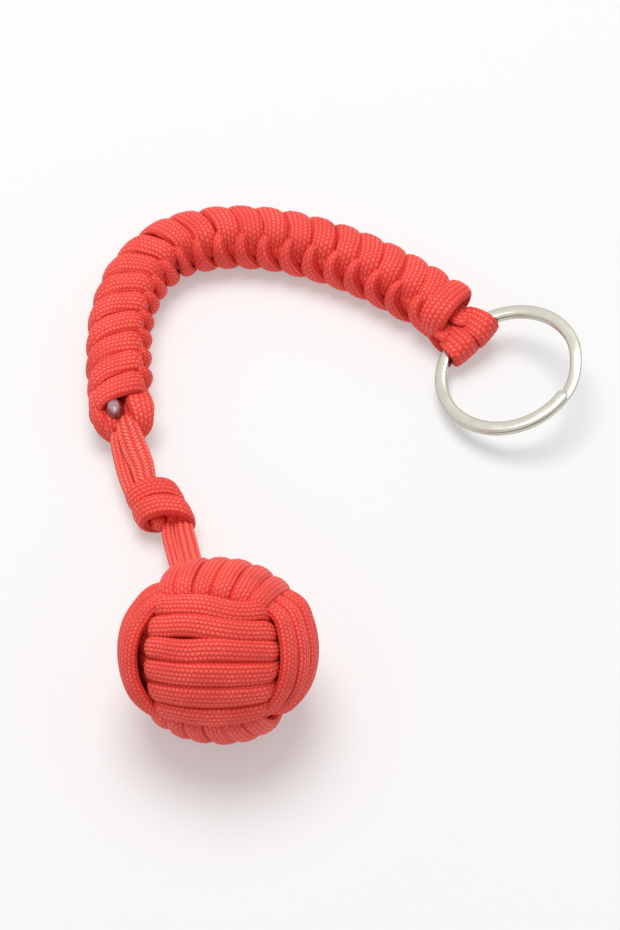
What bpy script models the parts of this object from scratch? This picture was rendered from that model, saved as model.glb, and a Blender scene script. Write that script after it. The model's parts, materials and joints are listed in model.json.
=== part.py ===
"""Monkey fist key chain, in metres, +Z up, lying on its side on a table.

A steel ball wound in three crossed sets of cord, a two-strand neck with an overhand knot in it,
a knotted bar bent through a right angle, and two flat loops that hold a split ring.
The cord is one length on the real thing. Here it is cut where it bends, so that it can move.
"""

import math

import bmesh
import bpy
from mathutils import Matrix, Vector, kdtree

# The cord as sold, before it is wound tight
CORD_DIAMETER = 0.004

# The fist: a steel ball under two layers of flattened cord
BALL_RADIUS = 0.0127
FIST_LAYER = 0.0021
LAYER_GAP = 0.0004
FIST_TURNS = 6
TURN_PITCH = 14.0
TURN_GAP = 0.00055
TURN_SQUEEZE = 0.30
SEEN_HALF_ANGLE = 35.0
HIDDEN_HALF_ANGLE = 44.0
FIST_FLAT = CORD_DIAMETER / 10
FIST_TILT = 50.0
FIST_TURN = -9.0
FIST_PLACE = (-0.0167, -0.0532)

# The bar: slanting turns knotted round two core strands
BAR_WIDTH = 0.0126
BAR_HEIGHT = 0.0112
BAR_TURN_THICKNESS = 0.0024
BAR_TURN_WIDTH = 0.0046
BAR_SIDE_WIDTH = 0.0032
BAR_TURN_GAP = 0.0007
BAR_LINKS = 11
TURNS_PER_LINK = 2
BAR_CORNER_POWER = 2.8
BAR_TURN_CORNERS = (15.0, 44.0, 70.0)
BAR_TURN_END = 2.0
BAR_CORE_WIDTH = 0.0031
BAR_CORE_HEIGHT = 0.0040
BAR_CORE_GAP = 0.0014
BAR_LAST_ANGLE = 545.0
BAR_FIRST_ANGLE = 60.0
END_TURN_ANGLES = (40.0, 20.0, -20.0, -46.0, -75.0, -100.0)
END_TURN_WIDTH = 0.0023
BAR_SPINE = [
    (-0.0360, 0.0020), (-0.0374, 0.0150), (-0.0380, 0.0270), (-0.0362, 0.0385),
    (-0.0305, 0.0478), (-0.0214, 0.0520), (-0.0100, 0.0524), (0.0020, 0.0493),
    (0.0132, 0.0440), (0.0210, 0.0386), (0.0268, 0.0341),
]

# The neck and its overhand knot
NECK_STRAND = 0.0028
NECK_NOSE = 0.00325
NOSE_TIP = 0.83
NOSE_BASE = 0.38
NECK_MOUTH = 0.0020
LIFT_MOUTH = 0.0012
LIFT_NOSE = 0.00145
KNOT_PLACE = (-0.0289, -0.0132)
KNOT_HEADING = -66.5
KNOT_TURN_WIDTH = 0.0037
KNOT_TURN_THICKNESS = 0.0024
KNOT_SLOPE = 0.0012
KNOT_TURN_ANGLE = 330.0
KNOT_CORNER_POWER = 2.7

# The loops and the split ring
LOOP_THICKNESS = 0.0018
LOOP_END_WIDTH = 0.0032
LOOP_FOLD_WIDTH = 0.0050
LOOP_LAYER_HEIGHT = 0.0020
LOOP_NOSE = 0.0033
LOOP_HEADING = -52.0
LOOP_SPREAD_ANGLE = 18.5
LOOP_CLEARANCE = 0.0010
LOOP_EDGE_CLEARANCE = 0.0004
RING_DIAMETER = 0.0300
RING_WIRE_WIDTH = 0.0028
RING_WIRE_THICKNESS = 0.0009
RING_TURN_GAP = 0.00045
RING_PLACE = (0.0392, 0.0179, 0.0073)
RING_NORMAL = (-0.316, -0.023, 0.948)
RING_END_ANGLE = 22.0
RING_RAMP_ANGLE = 18.0
RING_STEP = 12.0
RING_SPLIT_ANGLE = -13.0

# The melted cord ends
MELT_RADIUS = 0.0012
MELT_HEIGHT = 0.0024
UPPER_MELT_PLACE = (0.0034, 0.0026)
LOWER_MELT_PLACE = (0.0013, -0.0028)

# Shared by every piece
GAP = 0.0003
TUBE_RADIUS = 0.001
WELD_DISTANCE = 1e-7

CORD_COLOUR = (0.80, 0.075, 0.055, 1.0)
MELT_COLOUR = (0.45, 0.22, 0.26, 1.0)
STEEL_COLOUR = (0.62, 0.61, 0.57, 1.0)

COLLECTION_NAME = "monkey_fist_key_chain"
UP = Vector((0.0, 0.0, 1.0))

LAYER_IN = BALL_RADIUS + LAYER_GAP + FIST_LAYER / 2
LAYER_OUT = LAYER_IN + FIST_LAYER + LAYER_GAP
FIST_RADIUS = LAYER_OUT + FIST_LAYER / 2
FIST_CENTRE = Vector((*FIST_PLACE, FIST_RADIUS - FIST_FLAT))

BAR_HALF_WIDTH = (BAR_WIDTH - BAR_TURN_THICKNESS) / 2
BAR_HALF_HEIGHT = (BAR_HEIGHT - BAR_TURN_THICKNESS) / 2
BAR_AXIS_HEIGHT = BAR_HEIGHT / 2
BAR_TURN_COUNT = BAR_LINKS * TURNS_PER_LINK


def heading(degrees):
    """A level unit vector at this angle from +X."""
    turn = math.radians(degrees)
    return Vector((math.cos(turn), math.sin(turn), 0.0))


# Scene, materials and bodies

def clear_scene():
    for item in list(bpy.data.objects):
        bpy.data.objects.remove(item)


def new_collection(name):
    collection = bpy.data.collections.new(name)
    bpy.context.scene.collection.children.link(collection)
    return collection


def new_material(name, colour, roughness, metallic):
    material = bpy.data.materials.new(name)
    material.use_nodes = True
    shader = material.node_tree.nodes["Principled BSDF"]
    shader.inputs["Base Color"].default_value = colour
    shader.inputs["Roughness"].default_value = roughness
    shader.inputs["Metallic"].default_value = metallic
    return material


def new_body(collection, name, origin, parent=None):
    """An empty on the body's joint, which its pieces and the next body hang from."""
    body = bpy.data.objects.new(name, None)
    body.empty_display_size = 0.004
    body.location = origin
    if parent is not None:
        body.parent = parent
        body.location = Vector(origin) - joint_place(parent)
    collection.objects.link(body)
    return body


def joint_place(body):
    place = Vector(body.location)
    while body.parent is not None:
        body = body.parent
        place += body.location
    return place


def add_piece(collection, name, mesh, body, finish):
    """Turns a mesh in the part's frame into a named piece that hangs from its body."""
    mesh.name = name
    mesh.transform(Matrix.Translation(-joint_place(body)))
    shape = bmesh.new()
    shape.from_mesh(mesh)
    bmesh.ops.recalc_face_normals(shape, faces=shape.faces)
    shape.to_mesh(mesh)
    shape.free()
    mesh.shade_smooth()
    mesh.set_sharp_from_angle(angle=math.radians(50))
    mesh.materials.append(new_material(name + "_finish", *finish))
    piece = bpy.data.objects.new(name, mesh)
    piece.parent = body
    collection.objects.link(piece)
    return piece


# Cords as flattened tubes

def tangents(points):
    """The mean direction of the two runs that meet at each point."""
    runs = [(b - a).normalized() for a, b in zip(points, points[1:])]
    mids = [(a + b).normalized() for a, b in zip(runs, runs[1:])]
    return [runs[0], *mids, runs[-1]]


def ribbon(stations, resolution=1):
    """One unbroken tube. A station is its centre, its face's normal, its width and its thickness.

    The bevelled curve gives the rings, its last cap first, then its first cap, then all in order.
    Each ring is then pressed to its station's width and thickness.
    """
    centres = [station[0] for station in stations]
    curve = bpy.data.curves.new("ribbon", "CURVE")
    curve.dimensions = "3D"
    curve.bevel_depth = TUBE_RADIUS
    curve.bevel_resolution = resolution
    curve.use_fill_caps = True
    spline = curve.splines.new("POLY")
    spline.points.add(len(centres) - 1)
    for point, centre in zip(spline.points, centres):
        point.co = (*centre, 1.0)
    guide = bpy.data.objects.new("ribbon", curve)
    bpy.context.scene.collection.objects.link(guide)
    graph = bpy.context.evaluated_depsgraph_get()
    mesh = bpy.data.meshes.new_from_object(guide.evaluated_get(graph))
    bpy.data.objects.remove(guide)

    sides = 4 + 2 * resolution
    lead = 0.0 if sides % 4 == 2 else math.pi / sides
    flat = max(math.sin(lead + math.tau * corner / sides) for corner in range(sides))
    last = len(centres) - 1
    ring_order = [last, 0, *range(len(centres))]
    directions = tangents(centres)
    for vertex in mesh.vertices:
        ring = ring_order[vertex.index // sides]
        centre, normal, width, thickness = stations[ring]
        ahead = directions[ring]
        across = normal.cross(ahead).normalized()
        outward = ahead.cross(across)
        angle = lead + math.tau * (vertex.index % sides) / sides
        vertex.co = (centre + across * (width / 2 * math.cos(angle))
                     + outward * (thickness / 2 * math.sin(angle) / flat))
    shape = bmesh.new()
    shape.from_mesh(mesh)
    bmesh.ops.remove_doubles(shape, verts=shape.verts, dist=WELD_DISTANCE)
    shape.to_mesh(mesh)
    shape.free()
    return mesh


def skin_points(stations, spots, steps=8):
    """Points along lines on a ribbon's skin, with their places along it in stations.

    A spot is a line's place in the section, as shares of the half width and the half thickness.
    """
    directions = tangents([station[0] for station in stations])
    lines = []
    for across_share, up_share in spots:
        line = []
        for (centre, normal, width, thickness), ahead in zip(stations, directions):
            across = normal.cross(ahead).normalized()
            up = ahead.cross(across)
            line.append(centre + across * (across_share * width / 2) + up * (up_share * thickness / 2))
        lines.append(line)
    return [(index + step / steps, line[index].lerp(line[index + 1], step / steps))
            for line in lines for index in range(len(line) - 1) for step in range(steps)]


def least_gap(stations, apart, spots=((-1.0, 0.0), (1.0, 0.0))):
    """The least distance between two skin points that are this many stations apart or more."""
    points = skin_points(stations, spots)
    tree = kdtree.KDTree(len(points))
    for index, (_, point) in enumerate(points):
        tree.insert(point, index)
    tree.balance()
    least = math.inf
    for place, point in points:
        for _, index, distance in tree.find_range(point, CORD_DIAMETER):
            if abs(points[index][0] - place) >= apart:
                least = min(least, distance)
    return least


def print_gap(name, stations, apart, **spots):
    print(name, "least gap to itself, mm", round(1000 * least_gap(stations, apart, **spots), 3))


# The fist

def fist_axes():
    """The fist's right, upper and front directions as it lies."""
    turn = Matrix.Rotation(math.radians(FIST_TURN), 3, "Z")
    tilt = Matrix.Rotation(math.radians(-FIST_TILT), 3, "X")
    return [turn @ tilt @ Vector(axis) for axis in ((1, 0, 0), (0, 0, 1), (0, -1, 0))]


def turn_route():
    """One turn as (angle, share of a pitch gained, is it seen), from the middle of a hidden face."""
    seen = [SEEN_HALF_ANGLE * share for share in (-1.0, -0.6, -0.2, 0.2, 0.6, 1.0)]
    hidden = [HIDDEN_HALF_ANGLE * share for share in (-1.0, -0.5, 0.0, 0.5, 1.0)]
    full = 2 * HIDDEN_HALF_ANGLE
    route = [(-90 + a, (a - HIDDEN_HALF_ANGLE) / full, False) for a in hidden[3:]]
    route += [(a, 0.0, True) for a in seen]
    route += [(90 + a, 0.0, False) for a in hidden]
    route += [(180 + a, 0.0, True) for a in seen]
    route += [(270 + a, (a + HIDDEN_HALF_ANGLE) / full, False) for a in hidden[:3]]
    return route


def winding_route():
    """Every turn's route with its number. The cord starts and stops at the climbing face's edges."""
    route = [(turn, *step) for turn in range(FIST_TURNS) for step in turn_route()]
    first = next(index for index, step in enumerate(route) if step[2] == 0.0)
    rising = [index for index, step in enumerate(route) if step[0] == FIST_TURNS - 1 and step[1] > 225.0]
    return route[first:rising[0] + 1]


def fist_stations(axis, seen_way, hidden_way):
    """A winding of six turns about the axis: outer layer on two faces, inner layer on the next two."""
    stations = []
    middle = (FIST_TURNS - 1) / 2
    for turn, angle, gain, seen in winding_route():
        off_middle = (angle + 90.0) % 180.0 - 90.0
        squeeze = 1.0 - TURN_SQUEEZE * (off_middle / 45.0) ** 2 if seen else 1.0 - TURN_SQUEEZE
        pitch = math.radians(TURN_PITCH) * squeeze
        latitude = pitch * (turn + gain - middle)
        radius = LAYER_OUT if seen else LAYER_IN
        around = math.radians(angle)
        level = seen_way * math.cos(around) + hidden_way * math.sin(around)
        outward = level * math.cos(latitude) + axis * math.sin(latitude)
        width = pitch * radius - TURN_GAP
        stations.append((FIST_CENTRE + outward * radius, outward, width, FIST_LAYER))
    return stations


def cut_flat(piece, cutter):
    cut = piece.modifiers.new("rest_flat", "BOOLEAN")
    cut.operation = "DIFFERENCE"
    cut.solver = "EXACT"
    cut.object = cutter


def add_floor_cutter(collection):
    """A slab under the table plane, which leaves the fist a flat to rest on."""
    size = 4 * FIST_RADIUS
    bpy.ops.mesh.primitive_cube_add(size=1.0)
    cutter = bpy.context.active_object
    cutter.name = "floor_cutter"
    cutter.data.transform(Matrix.Diagonal((size, size, size / 4, 1.0)))
    cutter.location = (*FIST_PLACE, -size / 8)
    for owner in list(cutter.users_collection):
        owner.objects.unlink(cutter)
    collection.objects.link(cutter)
    cutter.hide_render = True
    cutter.display_type = "WIRE"
    return cutter


def steel_ball_mesh():
    shape = bmesh.new()
    bmesh.ops.create_uvsphere(shape, u_segments=20, v_segments=12, radius=BALL_RADIUS)
    bmesh.ops.translate(shape, verts=shape.verts, vec=FIST_CENTRE)
    mesh = bpy.data.meshes.new("steel_ball")
    shape.to_mesh(mesh)
    shape.free()
    return mesh


def add_fist(parts, cutters, body):
    right, upper, front = fist_axes()
    add_piece(parts, "steel_ball", steel_ball_mesh(), body, (STEEL_COLOUR, 0.25, 1.0))
    cutter = add_floor_cutter(cutters)
    cutter.parent = body
    cutter.location -= joint_place(body)
    sets = {
        "fist_front_turns": (upper, front, right),
        "fist_side_turns": (front, right, upper),
        "fist_top_turns": (right, upper, front),
    }
    for name, ways in sets.items():
        stations = fist_stations(*ways)
        print_gap(name, stations, len(turn_route()) / 2)
        piece = add_piece(parts, name, ribbon(stations), body, (CORD_COLOUR, 0.75, 0.0))
        cut_flat(piece, cutter)


# The bar

def catmull(a, b, c, d, share):
    square, cube = share * share, share ** 3
    return (b * 2 + (c - a) * share + (a * 2 - b * 5 + c * 4 - d) * square
            + (b * 3 - a - c * 3 + d) * cube) / 2


def spine_points(steps=24):
    knots = [Vector((*point, 0.0)) for point in BAR_SPINE]
    knots = [knots[0] * 2 - knots[1], *knots, knots[-1] * 2 - knots[-2]]
    points = []
    for index in range(1, len(knots) - 2):
        around = knots[index - 1:index + 3]
        points += [catmull(*around, step / steps) for step in range(steps)]
    return points + [knots[-2]]


SPINE = spine_points()
SPINE_LENGTHS = [0.0]
for first, second in zip(SPINE, SPINE[1:]):
    SPINE_LENGTHS.append(SPINE_LENGTHS[-1] + (second - first).length)
BAR_LENGTH = SPINE_LENGTHS[-1]
BAR_PITCH = BAR_LENGTH / BAR_TURN_COUNT
BAR_LEAN = math.cos(math.atan2(BAR_PITCH / 2, BAR_WIDTH + BAR_HEIGHT / 2))


def spine_point(length):
    """The spine's point at this length, carried on straight past its ends."""
    index = sum(1 for mark in SPINE_LENGTHS[1:-1] if mark <= length)
    run = SPINE[index + 1] - SPINE[index]
    return SPINE[index] + run * ((length - SPINE_LENGTHS[index]) / run.length)


def spine_direction(length):
    """The spine's direction at this length, taken over half a turn's pitch."""
    span = BAR_PITCH / 2
    low = max(0.0, min(length - span / 2, BAR_LENGTH - span))
    return (spine_point(low + span) - spine_point(low)).normalized()


def section_point(turned):
    """The turn's middle line in the bar's section, by the angle turned from below, inner side first."""
    angle = math.radians(-90.0 - turned)
    power = 2 / BAR_CORNER_POWER
    side_reach = math.sin(math.radians(BAR_TURN_CORNERS[2])) ** power
    top_reach = math.cos(math.radians(BAR_TURN_CORNERS[0])) ** power
    cosine, sine = math.cos(angle), math.sin(angle)
    across = min(abs(cosine) ** power / side_reach, 1.0)
    up = min(abs(sine) ** power / top_reach, 1.0)
    return Vector((BAR_HALF_WIDTH * math.copysign(across, cosine),
                   BAR_HALF_HEIGHT * math.copysign(up, sine)))


def bar_place(length, across, up):
    side = UP.cross(spine_direction(length))
    return spine_point(length) + side * across + UP * (BAR_AXIS_HEIGHT + up)


def smooth_share(value):
    value = min(max(value, 0.0), 1.0)
    return value * value * (3 - 2 * value)


def turned_angles():
    """The angles turned at the corners of one turn."""
    first = [*BAR_TURN_CORNERS, *(180.0 - corner for corner in reversed(BAR_TURN_CORNERS))]
    return first + [180.0 + corner for corner in first]


def bar_station(length, turned, widest=math.inf):
    """A station of a bar turn: wide over the flat faces, narrower down the sides and inside the bend."""
    place = section_point(turned)
    slope = (section_point(turned - 5) - section_point(turned + 5)).normalized()
    flatness = smooth_share((abs(place.y) / BAR_HALF_HEIGHT - 0.45) / 0.45)
    width = BAR_SIDE_WIDTH + (BAR_TURN_WIDTH - BAR_SIDE_WIDTH) * flatness
    before = bar_place(length - BAR_PITCH / 2, place.x, place.y)
    after = bar_place(length + BAR_PITCH / 2, place.x, place.y)
    width = min(width, widest, (after - before).length * BAR_LEAN - BAR_TURN_GAP)
    length = min(max(length, width / 2), BAR_LENGTH - width / 2)
    normal = UP * slope.x - UP.cross(spine_direction(length)) * slope.y
    return bar_place(length, place.x, place.y), normal, width, BAR_TURN_THICKNESS


def bar_turns(link):
    """The link's two turns as one tube. It slants towards the fist as it goes round."""
    _, end = link_marks(link)
    angles = [360.0 * turn + angle for turn in range(TURNS_PER_LINK) for angle in turned_angles()]
    angles = [BAR_TURN_END, *angles, 360.0 * TURNS_PER_LINK - BAR_TURN_END]
    if link == 0:
        angles = [angle for angle in angles if angle < BAR_LAST_ANGLE] + [BAR_LAST_ANGLE]
    if link == BAR_LINKS - 1:
        angles = [BAR_FIRST_ANGLE] + [angle for angle in angles if angle > BAR_FIRST_ANGLE]
    return [bar_station(end - BAR_PITCH * angle / 360.0, angle) for angle in angles]


def end_turn():
    """The second working strand's last part turn, which closes the bar's outer side at the fist."""
    return [bar_station(0.0, 270.0 - angle, END_TURN_WIDTH) for angle in END_TURN_ANGLES]


def bar_core(start, end, side):
    """One of the two core strands between these lengths."""
    across = side * (BAR_CORE_WIDTH + GAP) / 2
    marks = (start, (start + end) / 2, end)
    return [(bar_place(mark, across, 0.0), UP, BAR_CORE_WIDTH, BAR_CORE_HEIGHT) for mark in marks]


def melted_end(length, across, face):
    """The melted tip of a cut cord end, a stub that stands beside the core strands."""
    low = BAR_CORE_HEIGHT / 2 + GAP
    ahead = spine_direction(length)
    stations = []
    for share, size in ((0.0, 0.8), (0.35, 1.0), (0.8, 0.9), (1.0, 0.55)):
        place = bar_place(length, across, (low + MELT_HEIGHT * share) * face)
        stations.append((place, ahead, 2 * MELT_RADIUS * size, 2 * MELT_RADIUS * size))
    return stations


def link_marks(link):
    """The lengths at which the link starts and ends."""
    run = BAR_PITCH * TURNS_PER_LINK
    return link * run, (link + 1) * run


def core_marks(link):
    start, end = link_marks(link)
    first = NECK_NOSE - NECK_MOUTH + 2 * GAP if link == 0 else start + BAR_CORE_GAP / 2
    last_end = BAR_LENGTH + NECK_MOUTH - LOOP_NOSE - GAP
    last = last_end if link == BAR_LINKS - 1 else end - BAR_CORE_GAP / 2
    return first, last


def add_link(parts, link, body):
    cord = (CORD_COLOUR, 0.75, 0.0)
    tag = f"{link + 1:02d}"
    turns = bar_turns(link)
    print_gap(f"bar_turns_{tag}", turns, len(turned_angles()) / 2)
    add_piece(parts, f"bar_turns_{tag}", ribbon(turns), body, cord)
    for name, side in (("outer", 1.0), ("inner", -1.0)):
        core = ribbon(bar_core(*core_marks(link), side))
        add_piece(parts, f"bar_core_{name}_{tag}", core, body, cord)
    if link == 0:
        add_piece(parts, "bar_end_turn", ribbon(end_turn()), body, cord)
        melt = (MELT_COLOUR, 0.35, 0.0)
        add_piece(parts, "melted_end_upper", ribbon(melted_end(*UPPER_MELT_PLACE, 1.0)), body, melt)
        add_piece(parts, "melted_end_lower", ribbon(melted_end(*LOWER_MELT_PLACE, -1.0)), body, melt)


# The neck and its knot

KNOT_HALF_WIDTH = NECK_STRAND + GAP / 2 + GAP + KNOT_TURN_THICKNESS / 2
KNOT_HALF_HEIGHT = NECK_STRAND / 2 + GAP + KNOT_TURN_THICKNESS / 2
KNOT_AXIS_HEIGHT = KNOT_HALF_HEIGHT + KNOT_TURN_THICKNESS / 2
KNOT_LENGTH = 2 * KNOT_TURN_WIDTH + TURN_GAP + KNOT_SLOPE
KNOT_AHEAD = heading(KNOT_HEADING)
KNOT_SPAN = LIFT_MOUTH + KNOT_LENGTH + NECK_MOUTH
KNOT_CENTRE = Vector((*KNOT_PLACE, KNOT_AXIS_HEIGHT))
LIFT_PLACE = KNOT_CENTRE - KNOT_AHEAD * (KNOT_SPAN / 2)
SWING_PLACE = KNOT_CENTRE + KNOT_AHEAD * (KNOT_SPAN / 2)
NECK_PLACE = bar_place(-NECK_MOUTH, 0.0, 0.0)
TWIST_AXIS = (FIST_CENTRE - SWING_PLACE).normalized()


def strand_pair(stations):
    """Two strands side by side. A station is their centre, their direction, width and thickness."""
    strands = []
    for side in (-1.0, 1.0):
        line = []
        for centre, ahead, width, thickness in stations:
            across = UP.cross(ahead).normalized()
            up = ahead.cross(across)
            offset = across * (side * (width + GAP) / 2)
            line.append((centre + offset, up, width, thickness))
        strands.append(ribbon(line))
    return strands


def nose(place, ahead):
    """The rounded end that turns about an upright axis: stations behind the axis."""
    return [
        (place - ahead * (NOSE_TIP * NECK_NOSE), ahead, NECK_STRAND * 0.5, NECK_STRAND * 0.6),
        (place - ahead * (NOSE_BASE * NECK_NOSE), ahead, NECK_STRAND, NECK_STRAND),
    ]


def add_upper_neck(parts, body):
    ahead = (LIFT_PLACE - NECK_PLACE).normalized()
    stations = nose(NECK_PLACE, ahead)
    stations.append((NECK_PLACE.lerp(LIFT_PLACE, 0.5), ahead, NECK_STRAND, NECK_STRAND))
    stations.append((LIFT_PLACE, ahead, NECK_STRAND, NECK_STRAND))
    tip = LIFT_PLACE + ahead * (NOSE_TIP * LIFT_NOSE)
    stations.append((tip, ahead, NECK_STRAND * 0.9, NECK_STRAND * 0.5))
    cord = (CORD_COLOUR, 0.75, 0.0)
    for name, mesh in zip(("left", "right"), strand_pair(stations)):
        add_piece(parts, f"upper_neck_strand_{name}", mesh, body, cord)


def rounded(value):
    """A cosine or sine made fuller, so that the knot's section is a rounded box."""
    return math.copysign(abs(value) ** (2 / KNOT_CORNER_POWER), value)


def knot_turn(start):
    """One strand's turn round the knot, open underneath and sloping towards the fist."""
    across = UP.cross(KNOT_AHEAD)
    stations = []
    steps = 13
    for step in range(steps):
        share = step / (steps - 1)
        angle = math.radians(90.0 + KNOT_TURN_ANGLE * (0.5 - share))
        along = start + KNOT_TURN_WIDTH / 2 + KNOT_SLOPE * share
        side, height = rounded(math.cos(angle)), rounded(math.sin(angle))
        outward = (UP * (math.sin(angle) / KNOT_HALF_HEIGHT)
                   - across * (math.cos(angle) / KNOT_HALF_WIDTH)).normalized()
        centre = (LIFT_PLACE + KNOT_AHEAD * along
                  - across * (KNOT_HALF_WIDTH * side) + UP * (KNOT_HALF_HEIGHT * height))
        stations.append((centre, outward, KNOT_TURN_WIDTH, KNOT_TURN_THICKNESS))
    return ribbon(stations)


def add_knot(parts, body):
    cord = (CORD_COLOUR, 0.75, 0.0)
    first = LIFT_MOUTH
    second = LIFT_MOUTH + KNOT_TURN_WIDTH + TURN_GAP
    add_piece(parts, "knot_upper_turn", knot_turn(first), body, cord)
    add_piece(parts, "knot_lower_turn", knot_turn(second), body, cord)
    ends = (LIFT_NOSE + GAP, KNOT_SPAN - NECK_NOSE - GAP)
    middle = sum(ends) / 2
    stations = [(LIFT_PLACE + KNOT_AHEAD * mark, KNOT_AHEAD, NECK_STRAND, NECK_STRAND)
                for mark in (ends[0], middle, ends[1])]
    for name, mesh in zip(("left", "right"), strand_pair(stations)):
        add_piece(parts, f"knot_core_strand_{name}", mesh, body, cord)


def add_lower_neck(parts, body):
    reach = (FIST_CENTRE - SWING_PLACE).length - FIST_RADIUS - GAP
    stations = nose(SWING_PLACE, TWIST_AXIS)
    for mark in (reach * 0.5, reach):
        stations.append((SWING_PLACE + TWIST_AXIS * mark, TWIST_AXIS, NECK_STRAND, NECK_STRAND))
    cord = (CORD_COLOUR, 0.75, 0.0)
    for name, mesh in zip(("left", "right"), strand_pair(stations)):
        add_piece(parts, f"lower_neck_strand_{name}", mesh, body, cord)


# The loops and the split ring

RING_CENTRE = Vector(RING_PLACE)
RING_UP = Vector(RING_NORMAL).normalized()
WIRE_RADIUS = (RING_DIAMETER - RING_WIRE_WIDTH) / 2
RING_HEIGHT = 2 * RING_WIRE_THICKNESS + RING_TURN_GAP
LOOP_PLACE = bar_place(BAR_LENGTH + NECK_MOUTH, 0.0, 0.0)


def ring_axes(towards):
    """Two directions in the ring's plane: the one nearest to this direction, and across it."""
    ahead = (towards - RING_UP * towards.dot(RING_UP)).normalized()
    return ahead, RING_UP.cross(ahead)


def ring_stations():
    """Two turns of flat wire with a short ramp from the lower turn to the upper one."""
    ahead, across = ring_axes(Vector((1.0, 0.0, 0.0)))
    level = (RING_WIRE_THICKNESS + RING_TURN_GAP) / 2
    first, last = RING_END_ANGLE, 720.0 - RING_END_ANGLE
    ramp = (360.0 - RING_RAMP_ANGLE, 360.0 + RING_RAMP_ANGLE)
    steps = round((ramp[0] - first) / RING_STEP)
    marks = [first + (ramp[0] - first) * step / steps for step in range(steps)]
    marks += [ramp[0] + (ramp[1] - ramp[0]) * step / 4 for step in range(4)]
    marks += [ramp[1] + (last - ramp[1]) * step / steps for step in range(steps + 1)]
    stations = []
    for mark in marks:
        rise = smooth_share((mark - ramp[0]) / (ramp[1] - ramp[0])) * 2 - 1
        angle = math.radians(mark + RING_SPLIT_ANGLE)
        outward = ahead * math.cos(angle) + across * math.sin(angle)
        centre = RING_CENTRE + outward * WIRE_RADIUS + RING_UP * (level * rise)
        stations.append((centre, RING_UP, RING_WIRE_WIDTH, RING_WIRE_THICKNESS))
    return stations


def loop_stations(side):
    """A flat cord from the bar, over the ring's wire, round its inside and back underneath."""
    ahead, across = ring_axes(heading(LOOP_HEADING))
    spread = math.radians(LOOP_SPREAD_ANGLE) * side
    inward = ahead * math.cos(spread) - across * math.sin(spread)
    reach = (inward + ahead).normalized()
    wire = RING_CENTRE - inward * WIRE_RADIUS
    level = RING_HEIGHT / 2 + GAP + LOOP_THICKNESS / 2
    fold = RING_WIRE_WIDTH / 2 + LOOP_CLEARANCE + LOOP_THICKNESS / 2
    outer_edge = RING_WIRE_WIDTH / 2 + LOOP_EDGE_CLEARANCE
    leave = spine_direction(BAR_LENGTH)
    end = LOOP_PLACE + UP.cross(leave) * (side * (LOOP_END_WIDTH + GAP) / 2)
    width, thickness = LOOP_END_WIDTH, LOOP_THICKNESS
    upper = [
        (end - leave * (NOSE_TIP * LOOP_NOSE) + UP * (LOOP_LAYER_HEIGHT * 0.72), UP, width, thickness * 0.55),
        (end - leave * (NOSE_BASE * LOOP_NOSE) + UP * LOOP_LAYER_HEIGHT, UP, width, thickness),
        (end + leave * (0.25 * LOOP_NOSE) + UP * LOOP_LAYER_HEIGHT, UP, width, thickness),
        (wire - reach * outer_edge + RING_UP * level, RING_UP, (width + LOOP_FOLD_WIDTH) / 2, thickness),
        (wire + RING_UP * level, RING_UP, LOOP_FOLD_WIDTH, thickness),
        (wire + reach * (fold * 0.72) + RING_UP * (level * 0.9),
         (RING_UP + reach * 0.5).normalized(), LOOP_FOLD_WIDTH, thickness),
        (wire + reach * fold + RING_UP * (level * 0.35),
         (RING_UP * 0.3 + reach).normalized(), LOOP_FOLD_WIDTH, thickness),
    ]
    lower = []
    for centre, normal, width, thickness in reversed(upper):
        lower.append((mirror_down(centre, wire), mirror_normal(normal), width, thickness))
    for place in (-1, -2, -3):
        lower[place] = mirror_end(upper[-1 - place])
    return upper + lower


def mirror_down(point, wire):
    return point - RING_UP * (2 * (point - wire).dot(RING_UP))


def mirror_normal(normal):
    return normal - RING_UP * (2 * normal.dot(RING_UP))


def mirror_end(station):
    centre, _, width, thickness = station
    return (centre - UP * (2 * (centre.z - LOOP_PLACE.z)), -UP, width, thickness)


def add_loops(parts, body):
    cord = (CORD_COLOUR, 0.75, 0.0)
    for name, side in (("far", 1.0), ("near", -1.0)):
        add_piece(parts, f"ring_loop_{name}", ribbon(loop_stations(side)), body, cord)


def add_ring(parts, body):
    stations = ring_stations()
    print_gap("split_ring", stations, len(stations) / 4, spots=((0.0, -1.0), (0.0, 1.0)))
    add_piece(parts, "split_ring", ribbon(stations, 2), body, (STEEL_COLOUR, 0.3, 1.0))


# The whole object

def link_place(mark):
    return bar_place(mark * BAR_PITCH * TURNS_PER_LINK, 0.0, 0.0)


def add_bar(parts, root_link):
    """Links hang from the middle one outwards, each from an empty at the joint that it turns on."""
    bodies = {root_link: new_body(parts, "bar_link_root", link_place(root_link + 0.5))}
    for link in range(root_link - 1, -1, -1):
        bodies[link] = new_body(parts, f"bar_link_{link + 1:02d}", link_place(link + 1), bodies[link + 1])
    for link in range(root_link + 1, BAR_LINKS):
        bodies[link] = new_body(parts, f"bar_link_{link + 1:02d}", link_place(link), bodies[link - 1])
    for link, body in bodies.items():
        add_link(parts, link, body)
    return bodies


def centre_on_origin(root, pieces):
    """Moves the root so that the whole object stands on z = 0 with its box centred on the origin."""
    bpy.context.view_layer.update()
    graph = bpy.context.evaluated_depsgraph_get()
    corners = []
    for piece in pieces:
        mesh = piece.evaluated_get(graph).to_mesh()
        corners += [piece.matrix_world @ vertex.co for vertex in mesh.vertices]
    for axis in (0, 1):
        values = [corner[axis] for corner in corners]
        root.location[axis] -= (min(values) + max(values)) / 2
    root.location.z -= min(corner.z for corner in corners)


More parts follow.
